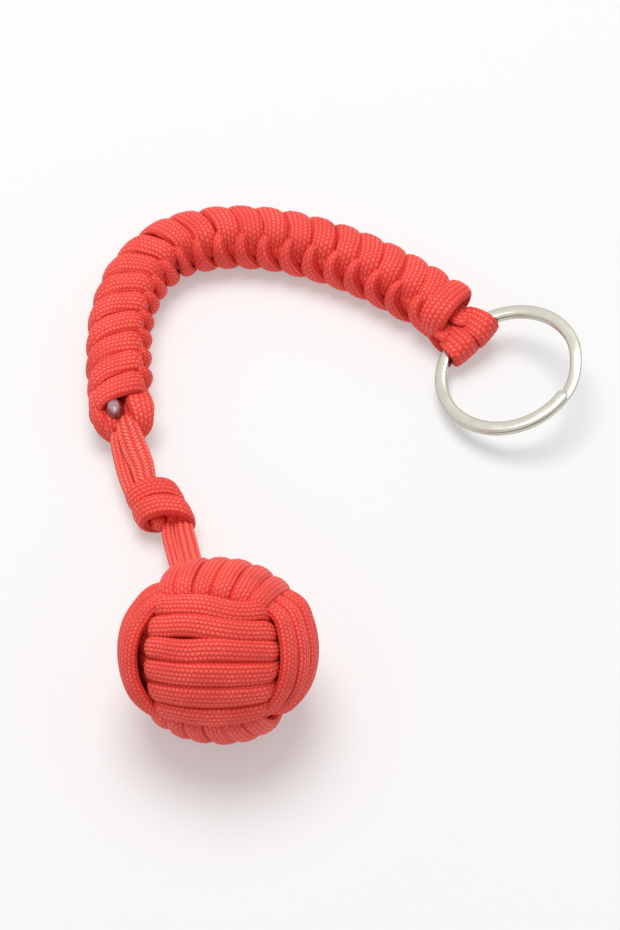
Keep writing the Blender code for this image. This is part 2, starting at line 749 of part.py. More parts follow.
def main():
    clear_scene()
    parts = new_collection(COLLECTION_NAME)
    cutters = new_collection("cutters")
    root_link = BAR_LINKS // 2
    links = add_bar(parts, root_link)
    upper_neck = new_body(parts, "upper_neck_body", NECK_PLACE, links[0])
    knot = new_body(parts, "knot_body", LIFT_PLACE, upper_neck)
    lower_neck = new_body(parts, "lower_neck_body", SWING_PLACE, knot)
    fist = new_body(parts, "fist_body", FIST_CENTRE, lower_neck)
    loops = new_body(parts, "loops_body", LOOP_PLACE, links[BAR_LINKS - 1])
    ring = new_body(parts, "ring_body", RING_CENTRE, loops)
    add_upper_neck(parts, upper_neck)
    add_knot(parts, knot)
    add_lower_neck(parts, lower_neck)
    add_fist(parts, cutters, fist)
    add_loops(parts, loops)
    add_ring(parts, ring)
    pieces = [item for item in parts.objects if item.type == "MESH"]
    centre_on_origin(links[root_link], pieces)


main()
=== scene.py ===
"""The looks of a monkey fist key chain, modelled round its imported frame, in metres, +Z up.

The cord is a flattened tubular braid. Every stretch of it is one grid wrapped round a path: the path
gives the place, the way the flat face looks, the width and the thickness, and the section has ribs.
"""

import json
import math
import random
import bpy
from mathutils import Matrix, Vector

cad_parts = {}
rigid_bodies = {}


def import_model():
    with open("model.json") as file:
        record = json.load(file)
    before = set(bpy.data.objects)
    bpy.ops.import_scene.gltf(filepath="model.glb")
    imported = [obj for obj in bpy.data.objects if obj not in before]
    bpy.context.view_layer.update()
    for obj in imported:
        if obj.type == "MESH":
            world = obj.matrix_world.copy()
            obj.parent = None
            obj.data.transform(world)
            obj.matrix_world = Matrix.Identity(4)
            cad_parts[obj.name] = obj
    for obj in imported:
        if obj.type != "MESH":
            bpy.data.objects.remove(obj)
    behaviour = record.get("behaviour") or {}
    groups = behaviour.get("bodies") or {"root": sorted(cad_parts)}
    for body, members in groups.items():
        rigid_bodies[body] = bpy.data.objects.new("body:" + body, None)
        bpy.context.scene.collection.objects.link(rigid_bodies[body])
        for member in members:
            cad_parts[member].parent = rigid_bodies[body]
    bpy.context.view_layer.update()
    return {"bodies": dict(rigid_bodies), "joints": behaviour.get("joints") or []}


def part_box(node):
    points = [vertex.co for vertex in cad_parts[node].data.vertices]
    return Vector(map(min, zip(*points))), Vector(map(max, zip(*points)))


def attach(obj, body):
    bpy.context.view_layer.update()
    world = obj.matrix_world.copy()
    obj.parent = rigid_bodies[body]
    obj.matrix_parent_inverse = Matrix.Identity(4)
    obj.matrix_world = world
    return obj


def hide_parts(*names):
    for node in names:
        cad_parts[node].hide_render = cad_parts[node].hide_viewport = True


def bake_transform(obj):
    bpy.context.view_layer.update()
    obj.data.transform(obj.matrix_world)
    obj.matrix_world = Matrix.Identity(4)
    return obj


bl_info = {
    "name": "Monkey Fist Key Chain",
    "version": (1, 0, 0),
    "blender": (4, 5, 0),
    "location": "3D View > Sidebar > Key Chain",
    "description": "Makes a knotted cord key chain with a monkey fist and a split ring",
    "category": "Add Mesh",
}

import bmesh
import bpy
import numpy as np
from bpy.props import FloatProperty, FloatVectorProperty, IntProperty
from mathutils import Matrix, Vector

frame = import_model()

UP = Vector((0.0, 0.0, 1.0))
MM = 0.001
JOINTS = {joint["name"]: joint for joint in frame["joints"]}
LINKS = sorted(body for body in frame["bodies"] if body.startswith("bar_link_"))
WELD_DISTANCE = 1e-7


def joint_place(name):
    return Vector(JOINTS[name]["pos_m"])


def joint_axis(name):
    return Vector(JOINTS[name]["axis"]).normalized()


FIST_CENTRE = joint_place("fist_twist")
FIST_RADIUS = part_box("fist_front_turns")[1].z - FIST_CENTRE.z
NECK_JOINT = joint_place("neck_swing")
LIFT_JOINT = joint_place("knot_lift")
SWING_JOINT = joint_place("knot_swing")
LOOP_JOINT = joint_place("loop_flop")
RING_CENTRE = joint_place("ring_spin")
RING_UP = joint_axis("ring_spin")
BAR_LOW, BAR_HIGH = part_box("bar_turns_06")


# Settings

class CordSettings(bpy.types.PropertyGroup):
    """The braided cord and how finely it is modelled."""
    ribs: IntProperty(name="Ribs", description="Ribs round the cord", default=12, min=6)
    rib_depth: FloatProperty(
        name="Rib depth", description="Depth of the valleys between ribs", default=0.00010, unit="LENGTH")
    crown: FloatProperty(
        name="Crown", description="Share of the thickness that is crowned", default=0.42, subtype="FACTOR")
    stitch: FloatProperty(
        name="Stitch", description="Length of one braid stitch", default=0.00078, unit="LENGTH")
    step: FloatProperty(
        name="Ring step", description="Distance between a cord's rings", default=0.00045, unit="LENGTH")


class FistSettings(bpy.types.PropertyGroup):
    """The monkey fist's three crossed windings."""
    turns: IntProperty(name="Turns", description="Turns in each winding", default=6, min=2)
    pitch: FloatProperty(
        name="Pitch", description="Angle from turn to turn", default=math.radians(14.0), subtype="ANGLE")
    tilt: FloatProperty(
        name="Tilt", description="How far the front looks up", default=math.radians(50.0), subtype="ANGLE")
    turned: FloatProperty(
        name="Turned", description="Turn about the vertical", default=math.radians(-9.0), subtype="ANGLE")
    roll: FloatProperty(
        name="Roll", description="Turn about the front face", default=math.radians(6.5), subtype="ANGLE")
    top_slant: FloatProperty(
        name="Top slant", description="Slant of the top winding", default=math.radians(8.0), subtype="ANGLE")
    top_roll: FloatProperty(
        name="Top roll", description="Roll of the top winding", default=math.radians(3.5), subtype="ANGLE")
    squeeze: FloatProperty(
        name="Squeeze", description="How much turns narrow at a face's edge", default=0.16, subtype="FACTOR")
    thickness: FloatProperty(
        name="Thickness", description="Thickness of a flattened turn", default=0.0025, unit="LENGTH")
    drop: FloatProperty(
        name="Drop", description="How deep a turn dives under the next set", default=0.0028, unit="LENGTH")
    swell: FloatProperty(
        name="Swell", description="How far the side winding stands proud", default=0.0008, unit="LENGTH")


class BarSettings(bpy.types.PropertyGroup):
    """The bar's interlocked hooks of cord."""
    knots: IntProperty(name="Knots", description="Hooks over the top from end to end", default=21, min=4)
    pitch: FloatProperty(name="Pitch", description="From hook to hook", default=0.00512, unit="LENGTH")
    overhang: FloatProperty(
        name="Overhang", description="The last hook's reach past the end", default=0.0015, unit="LENGTH")
    width: FloatProperty(name="Width", description="Across the bar", default=0.0129, unit="LENGTH")
    height: FloatProperty(
        name="Height", description="Height of the bar", default=BAR_HIGH.z - BAR_LOW.z, unit="LENGTH")
    outer_corner: FloatProperty(
        name="Outer corner", description="Power of the outer half's outline", default=2.7)
    inner_corner: FloatProperty(
        name="Inner corner", description="Power of the inner half's outline", default=2.15)
    roll: FloatProperty(
        name="Roll", description="Inward roll near the neck", default=math.radians(22.0), subtype="ANGLE")
    thickness: FloatProperty(
        name="Thickness", description="Thickness of a band", default=0.0026, unit="LENGTH")


class NeckSettings(bpy.types.PropertyGroup):
    """The neck's strands and the overhand knot."""
    thickness: FloatProperty(
        name="Thickness", description="Thickness of a strand", default=0.0025, unit="LENGTH")
    knot_width: FloatProperty(
        name="Knot band", description="Width of the knot's turns", default=0.0047, unit="LENGTH")


class RingSettings(bpy.types.PropertyGroup):
    """The split ring and the loops that hold it."""
    diameter: FloatProperty(name="Diameter", description="Across outside", default=0.030, unit="LENGTH")
    wire_width: FloatProperty(
        name="Wire width", description="Width of the flat wire", default=0.0024, unit="LENGTH")
    wire_thickness: FloatProperty(
        name="Wire thickness", description="Thickness of one turn", default=0.0009, unit="LENGTH")
    gap: FloatProperty(name="Gap", description="Gap between the two turns", default=0.00024, unit="LENGTH")
    split: FloatProperty(
        name="Split", description="Where the wire steps up", default=math.radians(-13.0), subtype="ANGLE")
    loop_start: FloatProperty(
        name="Loop at the bar", description="Its width there", default=0.0042, unit="LENGTH")
    loop_fold: FloatProperty(
        name="Loop at the fold", description="Its width there", default=0.0062, unit="LENGTH")
    loop_thickness: FloatProperty(
        name="Loop thickness", description="Thickness of the flat cord", default=0.0017, unit="LENGTH")


class FinishSettings(bpy.types.PropertyGroup):
    """Colours, as linear values."""
    cord: FloatVectorProperty(
        name="Cord", description="Lit cord", size=3, subtype="COLOR", default=(0.98, 0.064, 0.045))
    # Painted shade: the deep red of the valleys between stitches and of the cords' sides
    deep: FloatVectorProperty(
        name="Cord valleys", description="Between stitches", size=3, subtype="COLOR",
        default=(0.60, 0.009, 0.006))
    # Painted highlight on the crests of the stitches
    bright: FloatVectorProperty(
        name="Cord crests", description="On the stitches", size=3, subtype="COLOR",
        default=(1.0, 0.255, 0.19))
    melted: FloatVectorProperty(
        name="Melted end", description="Melted nylon", size=3, subtype="COLOR", default=(0.30, 0.13, 0.16))
    cloudy: FloatVectorProperty(
        name="Melted cloud", description="Milky patches in it", size=3, subtype="COLOR",
        default=(0.46, 0.30, 0.34))
    # The melt's darker red where it faces sideways: partly real melted red nylon, partly painted shade
    rim: FloatVectorProperty(
        name="Melted rim", description="Where the melt meets the cord", size=3, subtype="COLOR",
        default=(0.26, 0.008, 0.014))
    steel: FloatVectorProperty(
        name="Steel", description="Plated steel", size=3, subtype="COLOR", default=(0.60, 0.585, 0.505))


class StageSettings(bpy.types.PropertyGroup):
    """The camera."""
    distance: FloatProperty(name="Distance", description="Camera to object", default=0.602, unit="LENGTH")
    elevation: FloatProperty(
        name="Elevation", description="Camera's height angle", default=math.radians(55.0), subtype="ANGLE")
    focal: FloatProperty(name="Focal length", description="In millimetres", default=118.84)


# Cords

# Powers that shape how a flattened cord's faces bulge and how narrow the valleys between its ribs are
BULGE_POWER = 2.6
VALLEY_POWER = 0.7
# A rounded end isn't drawn in further than the root of this
BLUNTEST = 0.06


def smooth_rows(rows, step):
    """Rows of numbers on one smooth curve through these rows, about a step apart in place."""
    rows = np.asarray(rows, float)
    ends = np.vstack([2 * rows[0] - rows[1], rows, 2 * rows[-1] - rows[-2]])
    spans = []
    for index in range(len(rows) - 1):
        a, b, c, d = ends[index:index + 4]
        count = max(1, round(float(np.linalg.norm((c - b)[:3])) / step))
        share = np.arange(count)[:, None] / count
        spans.append((b * 2 + (c - a) * share + (a * 2 - b * 5 + c * 4 - d) * share ** 2
                      + (b * 3 - a - c * 3 + d) * share ** 3) / 2)
    return np.vstack([*spans, rows[-1:]])


def unit_rows(rows):
    return rows / np.linalg.norm(rows, axis=1, keepdims=True)


def flat_section(width, thickness, shares, crown):
    """A flattened cord's section at shares of its girth: across, outward and the outward way."""
    edge = thickness * (1 - crown) / 2
    face = np.maximum(width - 2 * edge, 0.0)
    quarter = math.pi * edge / 2
    along = np.mod(shares, 1.0) * (2 * face + 4 * quarter)
    marks = [quarter, quarter + face, 3 * quarter + face, 3 * quarter + 2 * face]
    spots = [along < marks[0], along < marks[1], along < marks[2], along < marks[3]]
    angle = np.select(spots, [along / edge, along * 0 + math.pi / 2,
                              math.pi / 2 + (along - marks[1]) / edge, along * 0 + 1.5 * math.pi],
                      1.5 * math.pi + (along - marks[3]) / edge)
    middle = np.select(spots, [along * 0 + face / 2, face / 2 - (along - marks[0]), along * 0 - face / 2,
                               (along - marks[2]) - face / 2], face / 2)
    across = middle + edge * np.cos(angle)
    bulge = (thickness / 2 - edge) * np.maximum(0.0, 1 - np.abs(across / (width / 2)) ** BULGE_POWER)
    outward = (edge + bulge) * np.sin(angle)
    return across, outward, np.cos(angle), np.sin(angle)


def cord_mesh(rows, cord, ribbed=1.0, ribs=None, sides=None, crown=None, twist=0.0, start=0.0, blunt=1.0,
              step=None):
    """One unbroken cord, its ends rounded. A row is x, y, z, the face's way, width and thickness.

    Its braid map has a stitch to a unit along it and a rib to a unit round it. Its rim is 0 along the
    middle of the flat faces and 1 at the sides.
    """
    rings = smooth_rows(rows, step or cord.step)
    centres, width, thickness = rings[:, :3], rings[:, 6:7], rings[:, 7:8]
    ahead = unit_rows(np.gradient(centres, axis=0))
    across = unit_rows(np.cross(rings[:, 3:6], ahead))
    outward = np.cross(ahead, across)
    length = np.concatenate([[0.0], np.cumsum(np.linalg.norm(np.diff(centres, axis=0), axis=1))])
    from_end = np.minimum(length, length[-1] - length)[:, None] / (blunt * thickness / 2 + 1e-9)
    rounding = np.sqrt(np.clip(1 - (1 - np.clip(from_end, 0, 1)) ** 2, BLUNTEST, 1))
    sides = sides or 4 * cord.ribs
    count = ribs or cord.ribs
    lines = np.arange(sides)[None, :] / sides + twist * length[:, None]
    crown = cord.crown if crown is None else crown
    x, y, nx, ny = flat_section(width * rounding, thickness * rounding, lines, crown)
    if ribbed:
        valley = (np.abs(np.sin(math.pi * count * np.arange(sides) / sides)) ** VALLEY_POWER - 1)[None, :]
        sink = ribbed * cord.rib_depth * valley * rounding
        x, y = x + nx * sink, y + ny * sink
    points = centres[:, None, :] + across[:, None, :] * x[:, :, None] + outward[:, None, :] * y[:, :, None]

    grid = bmesh.new()
    bmesh.ops.create_grid(grid, x_segments=len(rings) - 1, y_segments=sides, size=1.0)
    mesh = mesh_of(grid)
    flat = np.empty(len(mesh.vertices) * 3)
    mesh.vertices.foreach_get("co", flat)
    flat = flat.reshape(-1, 3)
    ring = np.rint((flat[:, 0] + 1) / 2 * (len(rings) - 1)).astype(int)
    line = np.rint((flat[:, 1] + 1) / 2 * sides).astype(int)
    mesh.vertices.foreach_set("co", points[ring, line % sides].ravel())
    corners = np.empty(len(mesh.loops), int)
    mesh.loops.foreach_get("vertex_index", corners)
    along = (start + length / cord.stitch)[ring[corners]]
    around = line[corners] * count / sides
    layer = mesh.uv_layers.new(name="braid")
    layer.data.foreach_set("uv", np.stack([along, around], axis=1).ravel())
    rim = np.clip(np.abs(x) / (width / 2), 0.0, 1.0)
    mesh.attributes.new("rim", "FLOAT", "POINT").data.foreach_set("value", rim[ring, line % sides])
    return mesh


def mesh_of(shape, name="piece"):
    """A new mesh from this bmesh, which is freed."""
    mesh = bpy.data.meshes.new(name)
    shape.to_mesh(mesh)
    shape.free()
    return mesh


def join_meshes(meshes):
    """One mesh of closed shells, with seams welded, ends closed and faces outwards."""
    shape = bmesh.new()
    for mesh in meshes:
        shape.from_mesh(mesh)
        bpy.data.meshes.remove(mesh)
    bmesh.ops.remove_doubles(shape, verts=shape.verts, dist=WELD_DISTANCE)
    rims = [edge for edge in shape.edges if edge.is_boundary]
    bmesh.ops.holes_fill(shape, edges=rims, sides=0)
    bmesh.ops.recalc_face_normals(shape, faces=shape.faces)
    return mesh_of(shape)


def place_piece(name, mesh, material, nodes, body=None, blend=None):
    """A named piece in the frame that rides on a body, or, given a blend, stays in the frame on no body."""
    mesh.name = name
    mesh.shade_smooth()
    mesh.materials.append(material)
    piece = bpy.data.objects.new(name, mesh)
    bpy.context.scene.collection.objects.link(piece)
    if blend:
        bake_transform(piece)
    else:
        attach(piece, body)
    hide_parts(*nodes)


def row(centre, way, width, thickness):
    """A cord's row from its place, its face's way and its size."""
    return [*centre, *way, width, thickness]


# Materials

# A stitch fades towards its ends and a rib towards its sides: the power and the depth of each
STITCH_FADE = (2.3, -0.8)
RIB_FADE = (1.5, -0.75)
FIBRES_TO_A_RIB = 4
# Scales of the noises
WANDER_SCALE = 420.0
FUZZ_SCALE = 5200.0
PATCH_SCALE = 130.0
CLOUD_SCALE = 900.0
POLISH_SCALE = 260.0
SCRATCH_SCALE = 4200.0
# How far stitches wander, in stitches along the cord and ribs round it
WANDER_REACH = (0.8, 0.24, 0.0)
# How much the fuzz and the yarn add to the stitches' relief, and the fuzz to the height that places the
# painted highlight and the painted shade
FUZZ_RELIEF = 0.25
YARN_RELIEF = 0.05
FUZZ_SHADING = (0.6, -0.3)
# Bumps: strength and metres
BRAID_BUMP = (0.7, 0.0002)
MELT_BUMP = (0.4, 0.0002)
SCRATCH_BUMP = (0.08, 0.00003)
# Ramps: from and to, and then what they give where that isn't 0 to 1
# Painted shade in the valleys between stitches
VALLEY_RAMP = (-0.1, 0.55)
# Painted shade on a cord's sides, where the creases lie
RIM_RAMP = (0.78, 1.0)
FUZZ_RAMP = (0.25, 0.6)
# Random patches where less of the painted highlight shows
HIGHLIGHT_PATCH_RAMP = (0.36, 0.64)
TONE_RAMP = (0.3, 0.7, 0.93, 1.05)
CORD_GLOSS_RAMP = (0.3, 0.7, 0.44, 0.64)
CLOUD_RAMP = (0.35, 0.65)
# The melt's darker red where it faces sideways: partly real melted red nylon, partly painted shade
MELT_RIM_RAMP = (0.78, 0.95)
POLISH_RAMP = (0.3, 0.7)
# The crests' ramp of painted highlight starts at a cord's own value and ends here
CREST_TOP = 1.05
# Where steel's polish is uneven, its roughness rises by this and its colour falls to this share
POLISH_SPREAD = 0.1
DULL_STEEL = 0.93


def new_material(name):
    material = bpy.data.materials.new(name)
    material.use_nodes = True
    return material, material.node_tree.nodes["Principled BSDF"]


def sum_node(tree, operation, *values):
    """A Math node whose values are numbers or sockets. Gives its output socket."""
    node = tree.nodes.new("ShaderNodeMath")
    node.operation = operation
    for index, value in enumerate(values):
        if isinstance(value, (int, float)):
            node.inputs[index].default_value = value
        else:
            tree.links.new(value, node.inputs[index])
    return node.outputs[0]


def add_bump(tree, shader, height, strength, distance):
    bump = tree.nodes.new("ShaderNodeBump")
    bump.inputs["Strength"].default_value = strength
    bump.inputs["Distance"].default_value = distance
    tree.links.new(height, bump.inputs["Height"])
    tree.links.new(bump.outputs["Normal"], shader.inputs["Normal"])


def braid_group():
    """Stitches of a tubular braid: a column to a rib, leaning one way and the other by turns."""
    group = bpy.data.node_groups.get("braid_stitches")
    if group:
        return group
    group = bpy.data.node_groups.new("braid_stitches", "ShaderNodeTree")
    group.interface.new_socket("Place", in_out="INPUT", socket_type="NodeSocketVector")
    group.interface.new_socket("Lean", in_out="INPUT", socket_type="NodeSocketFloat")
    group.interface.new_socket("Height", in_out="OUTPUT", socket_type="NodeSocketFloat")
    group.interface.new_socket("Yarn", in_out="OUTPUT", socket_type="NodeSocketFloat")
    inside = group.nodes.new("NodeGroupInput")
    outside = group.nodes.new("NodeGroupOutput")
    parts = group.nodes.new("ShaderNodeSeparateXYZ")
    group.links.new(inside.outputs["Place"], parts.inputs[0])
    column = sum_node(group, "FLOOR", parts.outputs["Y"])
    side = sum_node(group, "SUBTRACT", sum_node(group, "FRACT", parts.outputs["Y"]), 0.5)
    odd = sum_node(group, "FLOORED_MODULO", column, 2.0)
    sign = sum_node(group, "MULTIPLY_ADD", odd, -2.0, 1.0)
    lean = sum_node(group, "MULTIPLY", sum_node(group, "MULTIPLY", sign, side), inside.outputs["Lean"])
    along = sum_node(group, "ADD", parts.outputs["X"], sum_node(group, "MULTIPLY_ADD", odd, 0.5, lean))
    spot = sum_node(group, "SUBTRACT", sum_node(group, "FRACT", along), 0.5)
    fades = []
    for share, (power, depth) in ((side, RIB_FADE), (spot, STITCH_FADE)):
        outer = sum_node(group, "ABSOLUTE", sum_node(group, "MULTIPLY", share, 2.0))
        fades.append(sum_node(group, "MULTIPLY_ADD", sum_node(group, "POWER", outer, power), depth, 1.0))
    height = sum_node(group, "MULTIPLY", *fades)
    fibre = sum_node(group, "SINE", sum_node(group, "MULTIPLY", side, 2 * math.pi * FIBRES_TO_A_RIB))
    group.links.new(height, outside.inputs["Height"])
    group.links.new(fibre, outside.inputs["Yarn"])
    return group


def mix_colour(tree, share, first, second):
    node = tree.nodes.new("ShaderNodeMix")
    node.data_type = "RGBA"
    tree.links.new(share, node.inputs["Factor"])
    for socket, value in ((node.inputs["A"], first), (node.inputs["B"], second)):
        if isinstance(value, bpy.types.NodeSocket):
            tree.links.new(value, socket)
        else:
            socket.default_value = (*value, 1.0)
    return node.outputs["Result"]


def ramp_value(tree, value, low, high, out_low=0.0, out_high=1.0):
    node = tree.nodes.new("ShaderNodeMapRange")
    node.interpolation_type = "SMOOTHSTEP"
    for name, number in (("From Min", low), ("From Max", high), ("To Min", out_low), ("To Max", out_high)):
        node.inputs[name].default_value = number
    tree.links.new(value, node.inputs["Value"])
    return node.outputs["Result"]


def noise_value(tree, vector, scale, detail=2.0):
    node = tree.nodes.new("ShaderNodeTexNoise")
    node.inputs["Scale"].default_value = scale
    node.inputs["Detail"].default_value = detail
    tree.links.new(vector, node.inputs["Vector"])
    return node.outputs["Fac"]


def cord_material(settings, name="red_braid", crest_from=0.6, dullest_highlight=0.4, lean=0.32, side_shade=0.75):
    """Dyed nylon braid: stitches in relief, painted shade in deep red in the valleys and on the sides,
    a painted highlight and a soft sheen on the crests.

    The painted highlight on the crests shows from one height up, and as little as a given share of it in
    random patches. The last value is how much of the valleys' painted shade a cord's sides take.
    """
    material = bpy.data.materials.get(name)
    if material:
        return material
    material, shader = new_material(name)
    tree = material.node_tree
    place = tree.nodes.new("ShaderNodeTexCoord")
    uv_place = tree.nodes.new("ShaderNodeUVMap")
    uv_place.uv_map = "braid"
    wander = tree.nodes.new("ShaderNodeTexNoise")
    wander.inputs["Scale"].default_value = WANDER_SCALE
    tree.links.new(place.outputs["Object"], wander.inputs["Vector"])
    centred = tree.nodes.new("ShaderNodeVectorMath")
    centred.operation = "SUBTRACT"
    centred.inputs[1].default_value = (0.5, 0.5, 0.5)
    tree.links.new(wander.outputs["Color"], centred.inputs[0])
    moved = tree.nodes.new("ShaderNodeVectorMath")
    moved.operation = "MULTIPLY_ADD"
    moved.inputs[1].default_value = WANDER_REACH
    tree.links.new(centred.outputs[0], moved.inputs[0])
    tree.links.new(uv_place.outputs["UV"], moved.inputs[2])
    braid = tree.nodes.new("ShaderNodeGroup")
    braid.node_tree = braid_group()
    braid.inputs["Lean"].default_value = lean
    tree.links.new(moved.outputs[0], braid.inputs["Place"])
    fuzz = noise_value(tree, place.outputs["Object"], FUZZ_SCALE, 3.0)
    stitches = braid.outputs["Height"]
    relief = sum_node(tree, "ADD", stitches, sum_node(tree, "MULTIPLY", fuzz, FUZZ_RELIEF))
    relief = sum_node(tree, "ADD", relief, sum_node(tree, "MULTIPLY", braid.outputs["Yarn"], YARN_RELIEF))
    add_bump(tree, shader, relief, *BRAID_BUMP)
    # The stitches' height with fuzz, which places the painted highlight and the painted shade
    shading_height = sum_node(tree, "ADD", stitches, sum_node(tree, "MULTIPLY_ADD", fuzz, *FUZZ_SHADING))
    crest = ramp_value(tree, shading_height, crest_from, CREST_TOP)
    valley = ramp_value(tree, shading_height, *VALLEY_RAMP)
    patches = noise_value(tree, place.outputs["Object"], PATCH_SCALE, 3.0)
    # Painted shade: the valleys take the deep red
    body = mix_colour(tree, valley, settings.deep, settings.cord)
    # Random patches where less of the painted highlight shows
    highlight_patches = ramp_value(tree, patches, *HIGHLIGHT_PATCH_RAMP, dullest_highlight, 1.0)
    shown = sum_node(tree, "MULTIPLY", ramp_value(tree, fuzz, *FUZZ_RAMP), highlight_patches)
    # Painted highlight on the crests
    body = mix_colour(tree, sum_node(tree, "MULTIPLY", crest, shown), body, settings.bright)
    # Painted shade on the cord's sides, in the creases between turns and hooks
    rim = tree.nodes.new("ShaderNodeAttribute")
    rim.attribute_name = "rim"
    side_shade_mask = ramp_value(tree, rim.outputs["Fac"], *RIM_RAMP, 0.0, side_shade)
    body = mix_colour(tree, side_shade_mask, body, settings.deep)
    tone = tree.nodes.new("ShaderNodeHueSaturation")
    tree.links.new(body, tone.inputs["Color"])
    tree.links.new(ramp_value(tree, patches, *TONE_RAMP), tone.inputs["Value"])
    tree.links.new(tone.outputs["Color"], shader.inputs["Base Color"])
    tree.links.new(ramp_value(tree, fuzz, *CORD_GLOSS_RAMP), shader.inputs["Roughness"])
    shader.inputs["Specular IOR Level"].default_value = 0.4
    shader.inputs["Sheen Weight"].default_value = 0.08
    shader.inputs["Sheen Roughness"].default_value = 0.5
    shader.inputs["Sheen Tint"].default_value = (1.0, 0.55, 0.5, 1.0)
    return material


def melted_material(settings):
    """Nylon melted with a flame: glassy, cloudy and darker red at its rim, where it faces sideways: partly
    real melted red nylon, partly painted shade.
    """
    material, shader = new_material("melted_nylon")
    tree = material.node_tree
    place = tree.nodes.new("ShaderNodeTexCoord")
    clouds = noise_value(tree, place.outputs["Object"], CLOUD_SCALE, 4.0)
    parts = tree.nodes.new("ShaderNodeSeparateXYZ")
    tree.links.new(place.outputs["Normal"], parts.inputs[0])
    cloudy = mix_colour(tree, ramp_value(tree, clouds, *CLOUD_RAMP), settings.melted, settings.cloudy)
    steepness = sum_node(tree, "ABSOLUTE", parts.outputs["Z"])
    # Darker red where the melt faces sideways: partly real melted red nylon, partly painted shade
    colour = mix_colour(tree, ramp_value(tree, steepness, *MELT_RIM_RAMP), settings.rim, cloudy)
    tree.links.new(colour, shader.inputs["Base Color"])
    add_bump(tree, shader, clouds, *MELT_BUMP)
    shader.inputs["Roughness"].default_value = 0.3
    shader.inputs["Coat Weight"].default_value = 0.4
    shader.inputs["Coat Roughness"].default_value = 0.2
    return material


def steel_material(settings, name, roughness):
    """Plated steel with fine scratches and a faint unevenness of its polish."""
    material, shader = new_material(name)
    tree = material.node_tree
    place = tree.nodes.new("ShaderNodeTexCoord")
    patches = noise_value(tree, place.outputs["Object"], POLISH_SCALE, 4.0)
    scratches = noise_value(tree, place.outputs["Object"], SCRATCH_SCALE, 2.0)
    dull = [value * DULL_STEEL for value in settings.steel]
    colour = mix_colour(tree, ramp_value(tree, patches, *POLISH_RAMP), settings.steel, dull)
    tree.links.new(colour, shader.inputs["Base Color"])
    gloss = ramp_value(tree, patches, *POLISH_RAMP, roughness, roughness + POLISH_SPREAD)
    tree.links.new(gloss, shader.inputs["Roughness"])
    add_bump(tree, shader, scratches, *SCRATCH_BUMP)
    shader.inputs["Metallic"].default_value = 1.0
    return material


# The fist

def fist_axes(fist):
    """The fist's right, upper and front ways as it lies."""
    front = Matrix.Rotation(fist.turned, 3, "Z") @ Matrix.Rotation(-fist.tilt, 3, "X") @ Vector((0, -1, 0))
    level = Vector((math.cos(fist.turned), math.sin(fist.turned), 0.0))
    right = Matrix.Rotation(fist.roll, 3, front) @ level
    return right, right.cross(-front), front


def smooth_share(value):
    """0 up to 0 and 1 from 1 on, with a smooth rise between."""
    value = min(max(value, 0.0), 1.0)
    return value * value * (3 - 2 * value)


def near_angle(degrees, place, spread):
    """1 at this place round a circle, falling to 0 beyond its spread."""
    away = (degrees - place + 180.0) % 360.0 - 180.0
    return math.exp(-(away / spread) ** 2)


# Where turns stray: turn, degrees round the winding, spread, and share of the pitch
FRONT_STRAYS = ((5, 22.0, 20.0, -0.30), (4, 24.0, 20.0, -0.15), (4, -15.0, 13.0, 0.06),
                (3, -15.0, 13.0, -0.12), (2, 4.0, 26.0, 0.05))
# Where the side winding is pulled in: degrees round it, spread and metres
SIDE_PULLS = ((-46.0, 18.0, 0.0014), (137.0, 17.0, 0.0011), (226.0, 14.0, 0.0009))
# Steps of a turn, and where in it, in degrees, it starts to cross to the next one and for how long
TURN_STEPS = 36
CROSS_START = 226.0
CROSS_SPAN = 88.0
# A turn is narrowed in full this many degrees from a face's middle, and takes this many to dive
SQUEEZE_REACH = 48.0
DIVE_SPAN = 13.0
# How far a turn wanders sideways, as a share of the pitch, and in and out
DRIFT = 0.04
WAVER = 0.00012
# The side winding's last turn stands proud within this many degrees of its middle, and leans by this
PROUD_REACH = 70.0
PROUD_LEAN = 400.0
# How many degrees from a face's middle turns dive, by quarters; then the same for the last turn
DIVES = {
    "fist_front": ((43.0, 40.0, 40.0, 41.0), (43.0, 40.0, 40.0, 41.0)),
    "fist_side": ((34.0, 43.0, 37.0, 37.0), (34.0, 45.0, 45.0, 45.0)),
    "fist_top": ((38.0, 38.0, 38.0, 38.0), (38.0, 38.0, 38.0, 38.0)),
}


